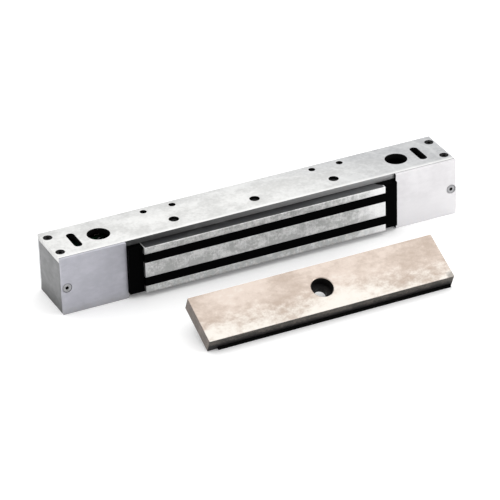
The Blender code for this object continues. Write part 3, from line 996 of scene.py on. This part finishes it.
@dataclass
class FastenerSet:
    """Puts copies of one fastener on a list of places, all facing one way."""

    name: str
    places: Sequence[Sequence[float]]
    facing: Facing = Facing.FRONT
    spin: float = math.pi

    def build(self, prototype: Solid, finish: Finish) -> Solid:
        """Copy the fastener.

        Args:
            prototype: One fastener, pointing along +Z from the origin.
            finish: Its finish.

        Returns:
            One solid that holds every copy.
        """
        bench = GeometryBench(self.name)
        seed = bench.given("Seed", "NodeSocketInt")
        most = bench.given("Most Spin")
        tool = bench.given("Fastener", "NodeSocketObject")
        facing = bench.given("Facing", "NodeSocketVector")
        shape = bench.node("GeometryNodeObjectInfo", None, {"Object": tool}, output="Geometry")
        spin = bench.node("FunctionNodeRandomValue", {"data_type": "FLOAT"},
                          {2: 0.0, 3: most, "Seed": seed}, output=1)
        turned = bench.node("ShaderNodeCombineXYZ", None, {"Z": spin})
        aimed = bench.node("FunctionNodeAlignRotationToVector", {"axis": "Z"},
                           {"Rotation": (0.0, 0.0, 0.0), "Vector": facing})
        rotation = bench.node("FunctionNodeRotateRotation", {"rotation_space": "LOCAL"},
                              {"Rotation": aimed, "Rotate By": turned})
        copies = bench.node("GeometryNodeInstanceOnPoints", None,
                            {"Points": bench.geometry(), "Instance": shape, "Rotation": rotation})
        bench.close(copies, finish)
        mesh = bpy.data.meshes.new(self.name)
        mesh.from_pydata([Vector(place) * MM for place in self.places], [], [])
        values = {"Seed": SEED, "Most Spin": self.spin, "Fastener": prototype.object,
                  "Facing": self.facing.value}
        result = bench.run(Solid(mesh), values)
        bpy.data.objects.remove(prototype.object)
        return result


# --------------------------------------------------------------- fasteners


@dataclass
class FlatScrew:
    """A countersunk hex-socket screw with a threaded shank, its face at Z = 0."""

    head: float
    shank: float = 1.5
    length: float = 9.0
    socket: float = 1.3
    socket_depth: float = 1.2
    rim: float = 0.3
    edge: float = 0.12
    pitch: float = 0.5
    thread: float = 0.25

    def build(self) -> Solid:
        """Make one screw pointing along +Z.

        Returns:
            The screw.
        """
        cone_end = -self.rim - (self.head - self.shank)
        profile = [(0.0, 0.0), (self.head - self.edge, 0.0), (self.head, -self.edge),
                   (self.head, -self.rim), (self.shank, cone_end)]
        turns = int((self.length + cone_end - 0.6) / self.pitch)
        for number in range(turns):
            z = cone_end - 0.2 - number * self.pitch
            profile += [(self.shank, z), (self.shank - self.thread, z - self.pitch / 2)]
        profile += [(self.shank - 2 * self.thread, -self.length), (0.0, -self.length)]
        screw = Solid.lathe(profile, 40)
        key = Solid.lathe([(0.0, 0.4), (self.socket + 0.5, 0.4), (self.socket, -self.edge),
                           (self.socket, -self.socket_depth), (0.0, -self.socket_depth - 0.3)], 6)
        return screw.cut(key)


@dataclass
class CapScrew:
    """A socket cap screw, its head's face at Z = 0 and its shank along -Z."""

    head: float
    head_height: float
    shank: float
    length: float
    socket: float
    socket_depth: float = 2.8
    edge: float = 0.35
    tip: float = 0.7

    def build(self) -> Solid:
        """Make one screw pointing along +Z.

        Returns:
            The screw.
        """
        profile = [(0.0, 0.0), (self.head - self.edge, 0.0), (self.head, -self.edge),
                   (self.head, -self.head_height + 0.15), (self.head - 0.15, -self.head_height),
                   (self.shank, -self.head_height), (self.shank, -self.length + self.tip),
                   (self.shank - self.tip, -self.length), (0.0, -self.length)]
        screw = Solid.lathe(profile, 48)
        return screw.cut(Solid.rod(self.socket, -self.socket_depth, 1.0, 6))


@dataclass
class SlottedScrew:
    """A round-headed slotted screw, its face at Z = 0."""

    head: float
    head_height: float
    shank: float
    length: float
    slot_width: float = 0.6

    def build(self) -> Solid:
        """Make one screw pointing along +Z.

        Returns:
            The screw.
        """
        dome = [(self.head * math.sin(angle), self.head_height * (math.cos(angle) - 1.0) * 0.6)
                for angle in [math.radians(15 * number) for number in range(7)]]
        profile = dome + [(self.head, -self.head_height), (self.shank, -self.head_height),
                          (self.shank, -self.length), (0.0, -self.length)]
        screw = Solid.lathe(profile, 40)
        half = self.slot_width / 2
        deep = self.head_height * 0.55
        return screw.cut(Solid.block((-self.head - 1, -half, -deep), (self.head + 1, half, 1.0)))


# ------------------------------------------------------------ sub-assemblies


# Painted shade: near black on the housing's inner faces, under the top plate, in its holes, in screw
# sockets and on the covers' ends beside the magnet.
INTERIOR_SHADE = MouldedPlastic("painted_interior_shade", (0.0025, 0.0025, 0.0025), (0.004, 0.004, 0.004), 0.7, 0.08)
# Painted shade: the end plates are a darker copy of the satin sheet, darker still toward the foot.
SHADED_END_GREY = SheetMetal("shaded_end_sheet", (0.215, 0.217, 0.22), (0.175, 0.177, 0.18),
                        (0.108, 0.108, 0.108), 17.0)
# Painted shade: the rear panel darkens toward its foot.
PANEL_GREY = SheetMetal("satin_panel_sheet", (0.56, 0.565, 0.58), (0.47, 0.475, 0.49),
                        (0.36, 0.36, 0.365))
# The covers are one sheet in two copies: the right one is paler as painted light, with a lighter foot;
# the left one's foot is painted shade.
LEFT_GREY = SheetMetal("violet_grey_sheet", (0.465, 0.465, 0.51), (0.405, 0.405, 0.445),
                       (0.37, 0.37, 0.385))
LIT_RIGHT_SHEET = SheetMetal("lit_right_sheet", (0.66, 0.648, 0.66), (0.60, 0.588, 0.60),
                        (0.71, 0.70, 0.712), 30.0)
# Painted shade on the plate's front edge between the covers, paler toward the right end as painted
# light.
PLATE_EDGE_SHADE = ShadedSteel("shaded_plate_edge", (0.075, 0.077, 0.078), (0.42, 0.42, 0.422),
                           (0.30, 0.31, 0.31), (-0.13, 0.11))
# The armature's sides and ends are shaded and lit copies of one scaled steel: the ends are brighter as
# painted light.
EDGE_BROWN = ScaledSteel("scaled_steel_edge", (0.100, 0.088, 0.077), (0.036, 0.033, 0.029))
LIT_END_BROWN = ScaledSteel("lit_scaled_steel_end", (0.215, 0.180, 0.160), (0.130, 0.112, 0.098))
# Painted shade inside the armature's bore.
BORE_SHADE = ScaledSteel("painted_bore_shade", (0.016, 0.012, 0.010), (0.006, 0.005, 0.005))
# A black strip put under the armature's front side as a painted contact shadow.
SHADOW_STRIP_BLACK = MouldedPlastic("painted_shadow_strip", (0.0015, 0.0014, 0.0013),
                              (0.003, 0.003, 0.003), 0.8, 0.04)
BLACK_OXIDE = PlainMetal("black_oxide", (0.003, 0.003, 0.003), (0.008, 0.008, 0.008), 0.5, 0.0, 0.06)
ZINC = PlainMetal("bright_zinc", (0.34, 0.34, 0.35), (0.22, 0.22, 0.225), 0.34)
COPPER = PlainMetal("enamelled_copper_wire", (0.55, 0.20, 0.08), (0.40, 0.13, 0.05), 0.32)
BRASS_PIN = PlainMetal("gilt_pin", (0.85, 0.62, 0.25), (0.70, 0.48, 0.18), 0.25)
TIN = PlainMetal("solder_tin", (0.62, 0.62, 0.63), (0.45, 0.45, 0.46), 0.25)
NYLON = MouldedPlastic("natural_nylon", (0.74, 0.72, 0.66), (0.80, 0.78, 0.73), 0.5)
TERMINAL_GREEN = MouldedPlastic("green_terminal", (0.02, 0.23, 0.09), (0.03, 0.27, 0.11))
BLACK_PLASTIC = MouldedPlastic("black_header", (0.012, 0.012, 0.013), (0.02, 0.02, 0.02))
BLUE_DIP = MouldedPlastic("blue_varistor", (0.02, 0.08, 0.33), (0.03, 0.11, 0.40), 0.32)


@dataclass
class Housing:
    """The mounting plate, the end plates, the rear panel and the screws that hold them."""

    edge: float = 0.25
    front_skin: float = 0.15
    margin: float = 0.5

    def build(self) -> None:
        """Make every piece of the housing."""
        self._mounting_plate()
        for node, grey, inward in (("left_end_plate", SHADED_END_GREY, (1.0, 0.0, 0.0)),
                                   ("right_end_plate", SHADED_END_GREY, (-1.0, 0.0, 0.0)),
                                   ("rear_panel", PANEL_GREY, (0.0, -1.0, 0.0))):

            def inside(face: Face) -> int:
                """Give the painted shade's number to the faces that look into the compartments."""
                return int(face.normal.dot(Vector(inward)) > SQUARE)

            piece = Solid.copy_of(node).soften(self.edge).paint([grey, INTERIOR_SHADE], inside)
            piece.publish("satin_" + node, Body.LOCK, Slot.SHEET, [node])
        for label, facing, ends in (("top_screw", Facing.UP, ("front", "rear")),
                                    ("back_screw", Facing.BACK, ("lower", "upper"))):
            nodes = [f"{side}_{end}_{label}" for side in ("left", "right") for end in ends]
            places, radius, length = seats(nodes, facing)
            screw = FlatScrew(radius, length=length).build()
            group = FastenerSet(label + "_set", places, facing).build(screw, BLACK_OXIDE)
            group.publish(label + "s", Body.LOCK, Slot.BLACK_OXIDE, nodes)

    def _mounting_plate(self) -> None:
        """Make the top plate, with painted shade on its front edge between the covers, underneath and
        in its holes.
        """
        low, high = corners("mounting_plate")
        cover = corners("right_access_cover")[0].x * MM
        front = (low.y + self.front_skin) * MM
        back = (high.y - self.margin) * MM
        end = (high.x - self.margin) * MM

        def choose(face: Face) -> int:
            """Tell the outer faces from the front edge and the insides, which are painted shade.

            Args:
                face: A face of the plate.

            Returns:
                0 outside, 1 on the front edge between the covers, 2 underneath and in the holes.
            """
            x = abs(face.center.x)
            if face.normal.z < -SQUARE:
                return 2
            if face.center.y < front and x < cover:
                return int(face.normal.y < -SQUARE)
            within = front < face.center.y < back and x < end
            return 2 if within and abs(face.normal.z) < 0.3 else 0

        plate = Solid.copy_of("mounting_plate").soften(self.edge)
        plate.paint([SatinPlate(), PLATE_EDGE_SHADE, INTERIOR_SHADE], choose)
        plate.publish("satin_mounting_plate", Body.LOCK, Slot.SATIN, ["mounting_plate"])


@dataclass
class Covers:
    """The two access covers and their captive screws."""

    corner: float = 0.45
    socket: float = 1.35

    def build(self) -> None:
        """Make both covers with their screws."""
        for side, tone, cover_body, screw_body in (
            ("left", LEFT_GREY, Body.LEFT_COVER, Body.LEFT_COVER_SCREW),
            ("right", LIT_RIGHT_SHEET, Body.RIGHT_COVER, Body.RIGHT_COVER_SCREW),
        ):
            self._cover(side + "_access_cover", tone, cover_body)
            self._screw(side + "_cover_screw", screw_body)

    def _cover(self, node: str, tone: Finish, body: Body) -> None:
        """Make one cover, with painted shade on its end beside the magnet.

        Args:
            node: Its CAD node.
            tone: Its grey.
            body: The body that it rides on.
        """
        inner = min(abs(corner.x) for corner in corners(node))
        edge = (inner + self.corner * 0.6) * MM

        def choose(face: Face) -> int:
            """Give the painted shade's number to the end beside the magnet."""
            return int(abs(face.center.x) < edge and abs(face.normal.y) < SQUARE)

        cover = Solid.copy_of(node).soften(self.corner, 3).paint([tone, INTERIOR_SHADE], choose)
        cover.publish("satin_" + node, body, Slot.SHEET, [node])

    def _screw(self, node: str, body: Body) -> None:
        """Make one captive screw, with painted shade in its socket.

        Args:
            node: Its CAD node.
            body: The body that it rides on.
        """
        places, radius, length = seats([node], Facing.FRONT)
        place = places[0] * MM

        def in_socket(face: Face) -> int:
            """Give the second finish's number to the faces inside the socket."""
            away = (face.center.xz - place.xz).length
            return int(away < self.socket * 1.02 * MM and face.center.y > place.y + 0.1 * MM)

        screw = FlatScrew(radius, length=length, socket=self.socket).build()
        group = FastenerSet(node + "_set", places).build(screw, ZINC)
        group.paint([ZINC, INTERIOR_SHADE], in_socket).publish("zinc_" + node, body, Slot.ZINC, [node])


@dataclass
class Magnet:
    """The laminated core, its bolts, the winding and the potting resin."""

    pitch: float = 0.75
    gap: float = 0.012
    jitter: float = 0.010
    chamfer: float = 0.35
    slot_depth: float = 14.0
    middle_pole: float = 11.6
    slot_height: float = 6.7
    bolt_head: float = 5.5
    bolt_shank: float = 3.0
    bolt_socket: float = 2.6
    block_recess: float = 2.8
    block_gap: float = 0.02
    fill: tuple[float, float] = (0.5, 3.0)
    fill_overlap: float = 2.0
    lip_recess: float = 0.12
    lip_gap: float = 0.1
    slot_play: float = 0.01
    resin_edge: float = 0.3
    spill: tuple[tuple[float, float], ...] = ((1.0, 2.9), (-0.3, 3.2), (-1.1, 4.4), (-2.4, 5.4),
                                              (-3.6, 6.6))
    spill_reach: float = 4.6
    spill_thickness: float = 0.55

    def build(self) -> None:
        """Make every piece of the magnet."""
        self._core()
        nodes = [side + "_core_bolt" for side in ("left", "middle", "right")]
        places, radius, length = seats(nodes, Facing.DOWN)
        bolt = CapScrew(radius, self.bolt_head, self.bolt_shank, length, self.bolt_socket).build()
        group = FastenerSet("core_bolt_set", places, Facing.DOWN).build(bolt, BLACK_OXIDE)
        group.publish("core_bolts", Body.LOCK, Slot.BLACK_OXIDE, nodes)
        self._resin()
        coil = frame["nodes"]["magnet_coil"]
        coil.data.materials.clear()
        coil.data.materials.append(coat(COPPER))

    def _outline(self) -> list[tuple[float, float]]:
        """Give the E section, with chamfered pole edges.

        Returns:
            Its points' Y and Z, in millimetres.
        """
        low, high = corners("magnet_core")
        inner = self.middle_pole / 2
        outer = inner + self.slot_height
        top = (high.z - low.z) / 2
        centre = (high.z + low.z) / 2
        face = low.y + self.chamfer
        slot_back = low.y + self.slot_depth
        half = [(low.y, inner - self.chamfer), (face, inner), (slot_back, inner), (slot_back, outer),
                (face, outer), (low.y, outer + self.chamfer), (low.y, top - self.chamfer),
                (face, top), (high.y, top)]
        return [(y, centre + z) for y, z in half] + [(y, centre - z) for y, z in reversed(half)]

    def _core(self) -> None:
        """Stack the laminations and grind their pole faces."""
        low, high = corners("magnet_core")
        count = round((high.x - low.x) / self.pitch)
        pitch = (high.x - low.x) / count
        outline = [(low.x, y, z) for y, z in self._outline()]
        sheet = Solid.extrude(outline, (pitch - self.gap, 0.0, 0.0))
        core = LaminationStack(count, pitch, self.jitter).build(sheet, ShadedSteel())
        edge = (low.y + self.chamfer + 0.1) * MM

        def choose(face: Face) -> int:
            """Give the ground finish's number to the pole faces, their chamfers and the end sheets."""
            at_end = abs(face.center.x) > (high.x - pitch) * MM
            return int(at_end or (face.center.y < edge and face.normal.y < -0.3))

        core.paint([ShadedSteel(), GroundSteel()], choose)
        core.publish("laminated_core", Body.LOCK, Slot.STEEL, ["magnet_core"])

    def _resin(self) -> None:
        """Cast the resin: two end blocks, a fill in each slot and a spill at the right end."""
        core_low, core_high = corners("magnet_core")
        low, high = corners("coil_potting")
        front = low.y + self.block_recess
        inner = self.middle_pole / 2 + self.slot_play
        outer = self.middle_pole / 2 + self.slot_height - self.slot_play
        centre = (core_low.z + core_high.z) / 2
        resin = Solid.block((low.x, front, low.z), (core_low.x - self.block_gap, high.y, high.z))
        resin.join(Solid.block((core_high.x + self.block_gap, front, low.z),
                               (high.x, high.y, high.z)))
        for bottom, top in ((centre - outer, centre - inner), (centre + inner, centre + outer)):
            resin.join(Solid.block((core_low.x - self.fill_overlap, front + self.fill[0], bottom),
                                   (core_high.x + self.fill_overlap, front + self.fill[1], top)))
            resin.join(Solid.block((core_low.x + self.lip_gap, core_low.y + self.lip_recess, bottom),
                                   (core_high.x - self.lip_gap, front + 2 * self.fill[0], top)))
        resin.soften(self.resin_edge).join(self._spill()).paint([CastResin()])
        resin.publish("cast_resin", Body.LOCK, Slot.RESIN, ["coil_potting"])

    def _spill(self) -> Solid:
        """Make the tongue of resin that ran over the core's right end, under the plate's edge.

        Returns:
            The tongue.
        """
        low, high = corners("magnet_core")
        under = corners("mounting_plate")[0].y + 0.5
        outline = [(high.x + x, low.y + y) for x, y in self.spill]
        outline += [(high.x - self.spill_reach, under), (high.x + self.spill[0][0], under)]
        start = high.z - self.resin_edge
        return Solid.extrude([(x, y, start) for x, y in outline], (0.0, 0.0, self.spill_thickness))


@dataclass
class Armature:
    """The loose armature plate and its guide pins, built flat and then laid on its slope."""

    tilt: float
    centre: Vector
    size: Vector
    edge: float = 0.3
    counterbore: float = 8.0
    counterbore_depth: float = 7.0
    countersink: float = 1.5
    through: float = 4.2
    strip_reach: float = 2.1
    strip_rise: float = 1.9
    strip_start: float = 7.5
    strip_gap: float = 1.2
    strip_lift: float = 0.02
    strip_edge: float = 0.12
    pin_round: float = 0.5

    @classmethod
    def from_frame(cls, tilt: float) -> "Armature":
        """Measure the CAD plate along its own axes.

        Args:
            tilt: The plate's slope, in radians.

        Returns:
            The armature, ready to build.
        """
        low, high = own_corners("armature_plate", tilt)
        return cls(tilt, Matrix.Rotation(tilt, 3, "X") @ ((low + high) / 2), high - low)

    def placed(self) -> Matrix:
        """Give the matrix from the plate's own axes to the model's."""
        return Matrix.Translation(self.centre * MM) @ Matrix.Rotation(self.tilt, 4, "X")

    def corner(self, x: float, y: float, z: float) -> Vector:
        """Give a point in the model from shares of the plate's half sizes, in millimetres."""
        share = Vector((x, y, z)) * self.size / 2
        return self.centre + Matrix.Rotation(self.tilt, 3, "X") @ share

    def build(self) -> None:
        """Make the plate, its two pins and the black strip that stands for its contact shadow."""
        half = self.size / 2
        floor = half.z - self.counterbore_depth
        plate = Solid.block(-half, half).soften(self.edge)
        plate.cut(Solid.rod(self.through, -half.z - 2, half.z + 2))
        plate.cut(Solid.lathe([(0.0, half.z + 1.0),
                               (self.counterbore + self.countersink, half.z + 1.0),
                               (self.counterbore, half.z - 0.5),
                               (self.counterbore, floor), (0.0, floor)]))
        face = ArmatureFace(tuple(self.corner(1, -1, 1)))
        sides = replace(EDGE_BROWN, foot=self.corner(0, -1, -1).y)
        seat = (self.counterbore + 0.05) * MM

        def choose(polygon: Face) -> int:
            """Tell the plate's faces from each other.

            Args:
                polygon: A face of the plate, in its own axes.

            Returns:
                0 for the plated face, 1 for the long sides and back, 2 for the ends, 3 in the bore.
            """
            if polygon.center.xy.length < seat and polygon.center.z < (half.z - 0.4) * MM:
                return 3 if abs(polygon.normal.z) < 0.5 or polygon.center.z > -half.z * 0.9 * MM else 1
            if polygon.normal.z > 0.35:
                return 0
            return 2 if abs(polygon.normal.x) > 0.7 else 1

        plate.paint([face, sides, LIT_END_BROWN, BORE_SHADE], choose).moved(self.placed())
        plate.publish("plated_armature", Body.ARMATURE, Slot.PLATED, ["armature_plate"])
        for node in ("left_guide_pin", "right_guide_pin"):
            self._pin(node)
        self._shadow_strip()

    def _shadow_strip(self) -> None:
        """Lay a black strip along the foot, under the overhang of the front side, as a painted contact
        shadow.
        """
        foot = self.corner(-1, -1, -1)
        lean = math.tan(self.tilt) * self.strip_rise
        outline = [(foot.y + self.strip_lift, self.strip_lift),
                   (foot.y - self.strip_reach, self.strip_lift),
                   (foot.y - self.strip_reach, self.strip_rise - 0.5),
                   (foot.y - self.strip_reach + 0.4, self.strip_rise),
                   (foot.y - lean + 0.05, self.strip_rise)]
        left = foot.x + self.strip_start
        length = self.size.x - self.strip_gap - self.strip_start
        strip = Solid.extrude([(left, y, z) for y, z in outline], (length, 0.0, 0.0))
        strip.soften(self.strip_edge).paint([SHADOW_STRIP_BLACK])
        strip.publish("rubber_foot_strip", Body.ARMATURE, Slot.PLASTIC)

    def _pin(self, node: str) -> None:
        """Make one guide pin, with a rounded end.

        Args:
            node: Its CAD node.
        """
        low, high = own_corners(node, self.tilt)
        radius = (high.x - low.x) / 2
        pin = Solid.lathe([(0.0, low.z), (radius - self.pin_round, low.z),
                           (radius - 0.12, low.z + 0.14), (radius, low.z + self.pin_round),
                           (radius, high.z), (0.0, high.z)], 40)
        pin.moved(Matrix.Translation(Vector(((low.x + high.x) / 2, (low.y + high.y) / 2, 0)) * MM))
        pin.moved(Matrix.Rotation(self.tilt, 4, "X")).paint([ZINC])
        pin.publish("zinc_" + node, Body.ARMATURE, Slot.ZINC, [node])


@dataclass
class WiringBoard:
    """What the left wiring compartment holds."""

    chip_places: tuple[tuple[float, float], ...] = (
        (-138.0, 18.0), (-138.0, 21.0), (-138.0, 24.0), (-138.0, 31.5), (-133.5, 33.0),
        (-121.5, 31.0), (-118.5, 31.0), (-121.5, 22.0), (-112.0, 21.5),
    )
    chip_half: tuple[float, float] = (0.8, 0.6)
    chip_height: float = 0.55
    joint_reach: float = 1.05
    circuit_place: tuple[float, float] = (-117.0, 26.2)
    circuit_half: tuple[float, float] = (2.5, 2.0)
    circuit_height: float = 1.6
    leg_pitch: float = 1.27
    leg_reach: float = 2.6
    screw_head: float = 1.6
    screw_shank: float = 1.2

    def build(self) -> None:
        """Make every piece of the compartment."""
        self._plain("circuit_board", "fine_circuit_board", SolderMask(), Slot.BOARD, 0.1)
        self._plain("lower_board_spacer", "fine_lower_board_spacer", NYLON, Slot.NYLON, 0.2)
        self._plain("upper_board_spacer", "fine_upper_board_spacer", NYLON, Slot.NYLON, 0.2)
        self._plain("terminal_block", "fine_terminal_block", TERMINAL_GREEN, Slot.TERMINAL, 0.3)
        self._header()
        self._plain("surge_varistor", "fine_surge_varistor", BLUE_DIP, Slot.VARISTOR, 0.3)
        self._plain("voltage_jumper", "pull_off_jumper", BLACK_PLASTIC, Slot.PLASTIC, 0.2, Body.JUMPER)
        self._parts()
        self._screws("board_screws", ["lower_board_screw", "upper_board_screw"], Body.LOCK, 0.6)
        for side, body in (("left", Body.LEFT_TERMINAL_SCREW), ("middle", Body.MIDDLE_TERMINAL_SCREW),
                           ("right", Body.RIGHT_TERMINAL_SCREW)):
            self._screws(f"zinc_{side}_terminal_screw", [side + "_terminal_screw"], body, 0.5)

    def _plain(self, node: str, name: str, finish: Finish, slot: Slot, edge: float,
               body: Body = Body.LOCK) -> None:
        """Soften a CAD node's copy and dress it.

        Args:
            node: The node.
            name: The piece's name.
            finish: Its finish.
            slot: Its material slot.
            edge: Width of its rounded edges, in millimetres.
            body: The body that it rides on.
        """
        Solid.copy_of(node).soften(edge).paint([finish]).publish(name, body, slot, [node])

    def _header(self) -> None:
        """Dress the header: a black base with gilt pins."""
        front = (corners("voltage_jumper")[1].y + 0.2) * MM

        def choose(face: Face) -> int:
            """Give the pins' number to what stands in front of the base."""
            return int(face.center.y < front)

        header = Solid.copy_of("jumper_header").paint([BLACK_PLASTIC, BRASS_PIN], choose)
        header.publish("fine_jumper_header", Body.LOCK, Slot.PLASTIC, ["jumper_header"])

    def _parts(self) -> None:
        """Solder small parts to the board's face: chips, their joints, and one control circuit."""
        board = corners("circuit_board")[0].y
        wide, high = self.chip_half
        chip = Solid.block((-wide, -high, 0.0), (wide, high, self.chip_height)).soften(0.08)
        chips = [(x, board, z) for x, z in self.chip_places]
        rows = FastenerSet("chip_set", chips, spin=0.0).build(chip, BLACK_PLASTIC)
        rows.publish("board_chips", Body.LOCK, Slot.PLASTIC)
        x, z = self.circuit_place
        tinned = [(chip_x + side * self.joint_reach, board, chip_z)
                  for chip_x, chip_z in self.chip_places for side in (-1, 1)]
        tinned += [(x + self.leg_pitch * step, board, z + side * self.leg_reach)
                   for step in (-1.5, -0.5, 0.5, 1.5) for side in (-1, 1)]
        dome = Solid.lathe([(0.0, 0.42), (0.25, 0.38), (0.42, 0.2), (0.5, 0.0), (0.0, 0.0)], 16)
        joints = FastenerSet("solder_joint_set", tinned).build(dome, TIN)
        joints.publish("solder_joints", Body.LOCK, Slot.ZINC)
        wide, high = self.circuit_half
        circuit = Solid.block((x - wide, board - self.circuit_height, z - high),
                              (x + wide, board - 0.1, z + high)).soften(0.15)
        dimple = Solid.rod(0.35, self.circuit_height - 0.15, 3.0, 24)
        circuit.cut(dimple.moved(aim((x - 1.8, board, z + 1.2), Facing.FRONT.value)))
        circuit.paint([BLACK_PLASTIC]).publish("control_circuit", Body.LOCK, Slot.PLASTIC)

    def _screws(self, name: str, nodes: Sequence[str], body: Body, slot_width: float) -> None:
        """Make slotted screws of one size.

        Args:
            name: The piece's name.
            nodes: Their CAD nodes.
            body: The body that they ride on.
            slot_width: Width of the slots, in millimetres.
        """
        places, radius, length = seats(nodes, Facing.FRONT)
        screw = SlottedScrew(radius, self.screw_head, self.screw_shank, length, slot_width).build()
        FastenerSet(name + "_set", places).build(screw, ZINC).publish(name, body, Slot.ZINC, nodes)


# -------------------------------------------------------------------- studio


@dataclass
class Studio:
    """The pale floor, the soft lights and the camera."""

    azimuth: float = -24.776
    elevation: float = 29.453
    roll: float = -1.731
    distance: float = 2187.5
    shift_right: float = -1.50
    shift_up: float = 0.03
    lens: float = 220.94
    sky_axis: Point = (0.1, 0.45, 0.89)
    sky_reach: tuple[float, float] = (-0.05, 0.65)
    sky_dim: float = 0.32
    sky_bright: float = 1.42

    def build(self) -> None:
        """Set the stage."""
        self._floor()
        self._camera()
        self._world()
        self._light("right_fill", (0.45, -0.42, 0.22), (0.25, 0.25), 1.2)

    def _floor(self) -> None:
        """Lay a plain pale floor."""
        bm = bmesh.new()
        bmesh.ops.create_grid(bm, x_segments=1, y_segments=1, size=6.0)
        mesh = bpy.data.meshes.new("floor")
        bm.to_mesh(mesh)
        bm.free()
        floor = show("floor", mesh)
        floor.location.z = CAD_BOX[0].z - 0.05 * MM
        shade = Shader("pale_floor")
        mesh.materials.append(shade.finish((0.98, 0.98, 0.98), 0.0, 0.9, gloss=0.1, glow=0.12))

    def _camera(self) -> None:
        """Put the camera at its viewing angle, aimed at the foot of the lock's middle."""
        az = math.radians(self.azimuth)
        el = math.radians(self.elevation)
        roll = math.radians(self.roll)
        back = Vector((math.sin(az) * math.cos(el), -math.cos(az) * math.cos(el), math.sin(el)))
        level = Vector((0.0, 0.0, 1.0)).cross(back).normalized()
        upright = back.cross(level)
        right = level * math.cos(roll) + upright * math.sin(roll)
        up = upright * math.cos(roll) - level * math.sin(roll)
        low, high = corners("mounting_plate")
        cover_front = corners("left_access_cover")[0].y
        aim_at = Vector((0.0, (cover_front + high.y) / 2, 0.0))
        place = aim_at + back * self.distance + right * self.shift_right + up * self.shift_up
        data = bpy.data.cameras.new("camera")
        data.lens = self.lens
        data.sensor_width = 36.0
        camera = show("camera", data)
        turn = Matrix((right, up, back)).transposed().to_4x4()
        camera.matrix_world = Matrix.Translation(place * MM) @ turn
        bpy.context.scene.camera = camera

    def _world(self) -> None:
        """Fill the room with pale light that falls off towards the front."""
        world = bpy.data.worlds.new("studio")
        world.use_nodes = True
        world.node_tree.nodes.clear()
        bench = NodeBench(world.node_tree)
        direction = bench.node("ShaderNodeTexCoord", output="Generated")
        slope = bench.node("ShaderNodeVectorMath", {"operation": "DOT_PRODUCT"},
                           {0: direction, 1: self.sky_axis}, output="Value")
        strength = self.sky_dim + slope.ramp(*self.sky_reach) * (self.sky_bright - self.sky_dim)
        white = (1.0, 1.0, 1.0, 1.0)
        sky = bench.node("ShaderNodeBackground", None, {"Color": white, "Strength": strength})
        bench.node("ShaderNodeOutputWorld", None, {"Surface": sky})
        bpy.context.scene.world = world

    def _light(self, name: str, place: Point, size: tuple[float, float], power: float) -> None:
        """Hang a rectangular softbox that faces the lock.

        Args:
            name: The light's name.
            place: Where it hangs, in metres.
            size: Its width and height, in metres.
            power: Its power, in watts.
        """
        data = bpy.data.lights.new(name, "AREA")
        data.shape = "RECTANGLE"
        data.size = size[0]
        data.size_y = size[1]
        data.energy = power
        light = show(name, data)
        light.location = place
        light.rotation_euler = (-Vector(place)).to_track_quat("-Z", "Y").to_euler()


def main() -> None:
    """Build the lock and its studio."""
    logging.basicConfig(level=logging.INFO, format="%(name)s: %(message)s")
    bpy.context.scene.view_settings.view_transform = "Standard"
    door_face = next(mount for mount in frame["record"]["mounts"] if mount["name"] == "door_face")
    tilt = math.atan2(door_face["axis"][1], -door_face["axis"][2])
    for group in (Housing(), Covers(), Magnet(), Armature.from_frame(tilt), WiringBoard(), Studio()):
        group.build()


if __name__ == "__main__":
    main()
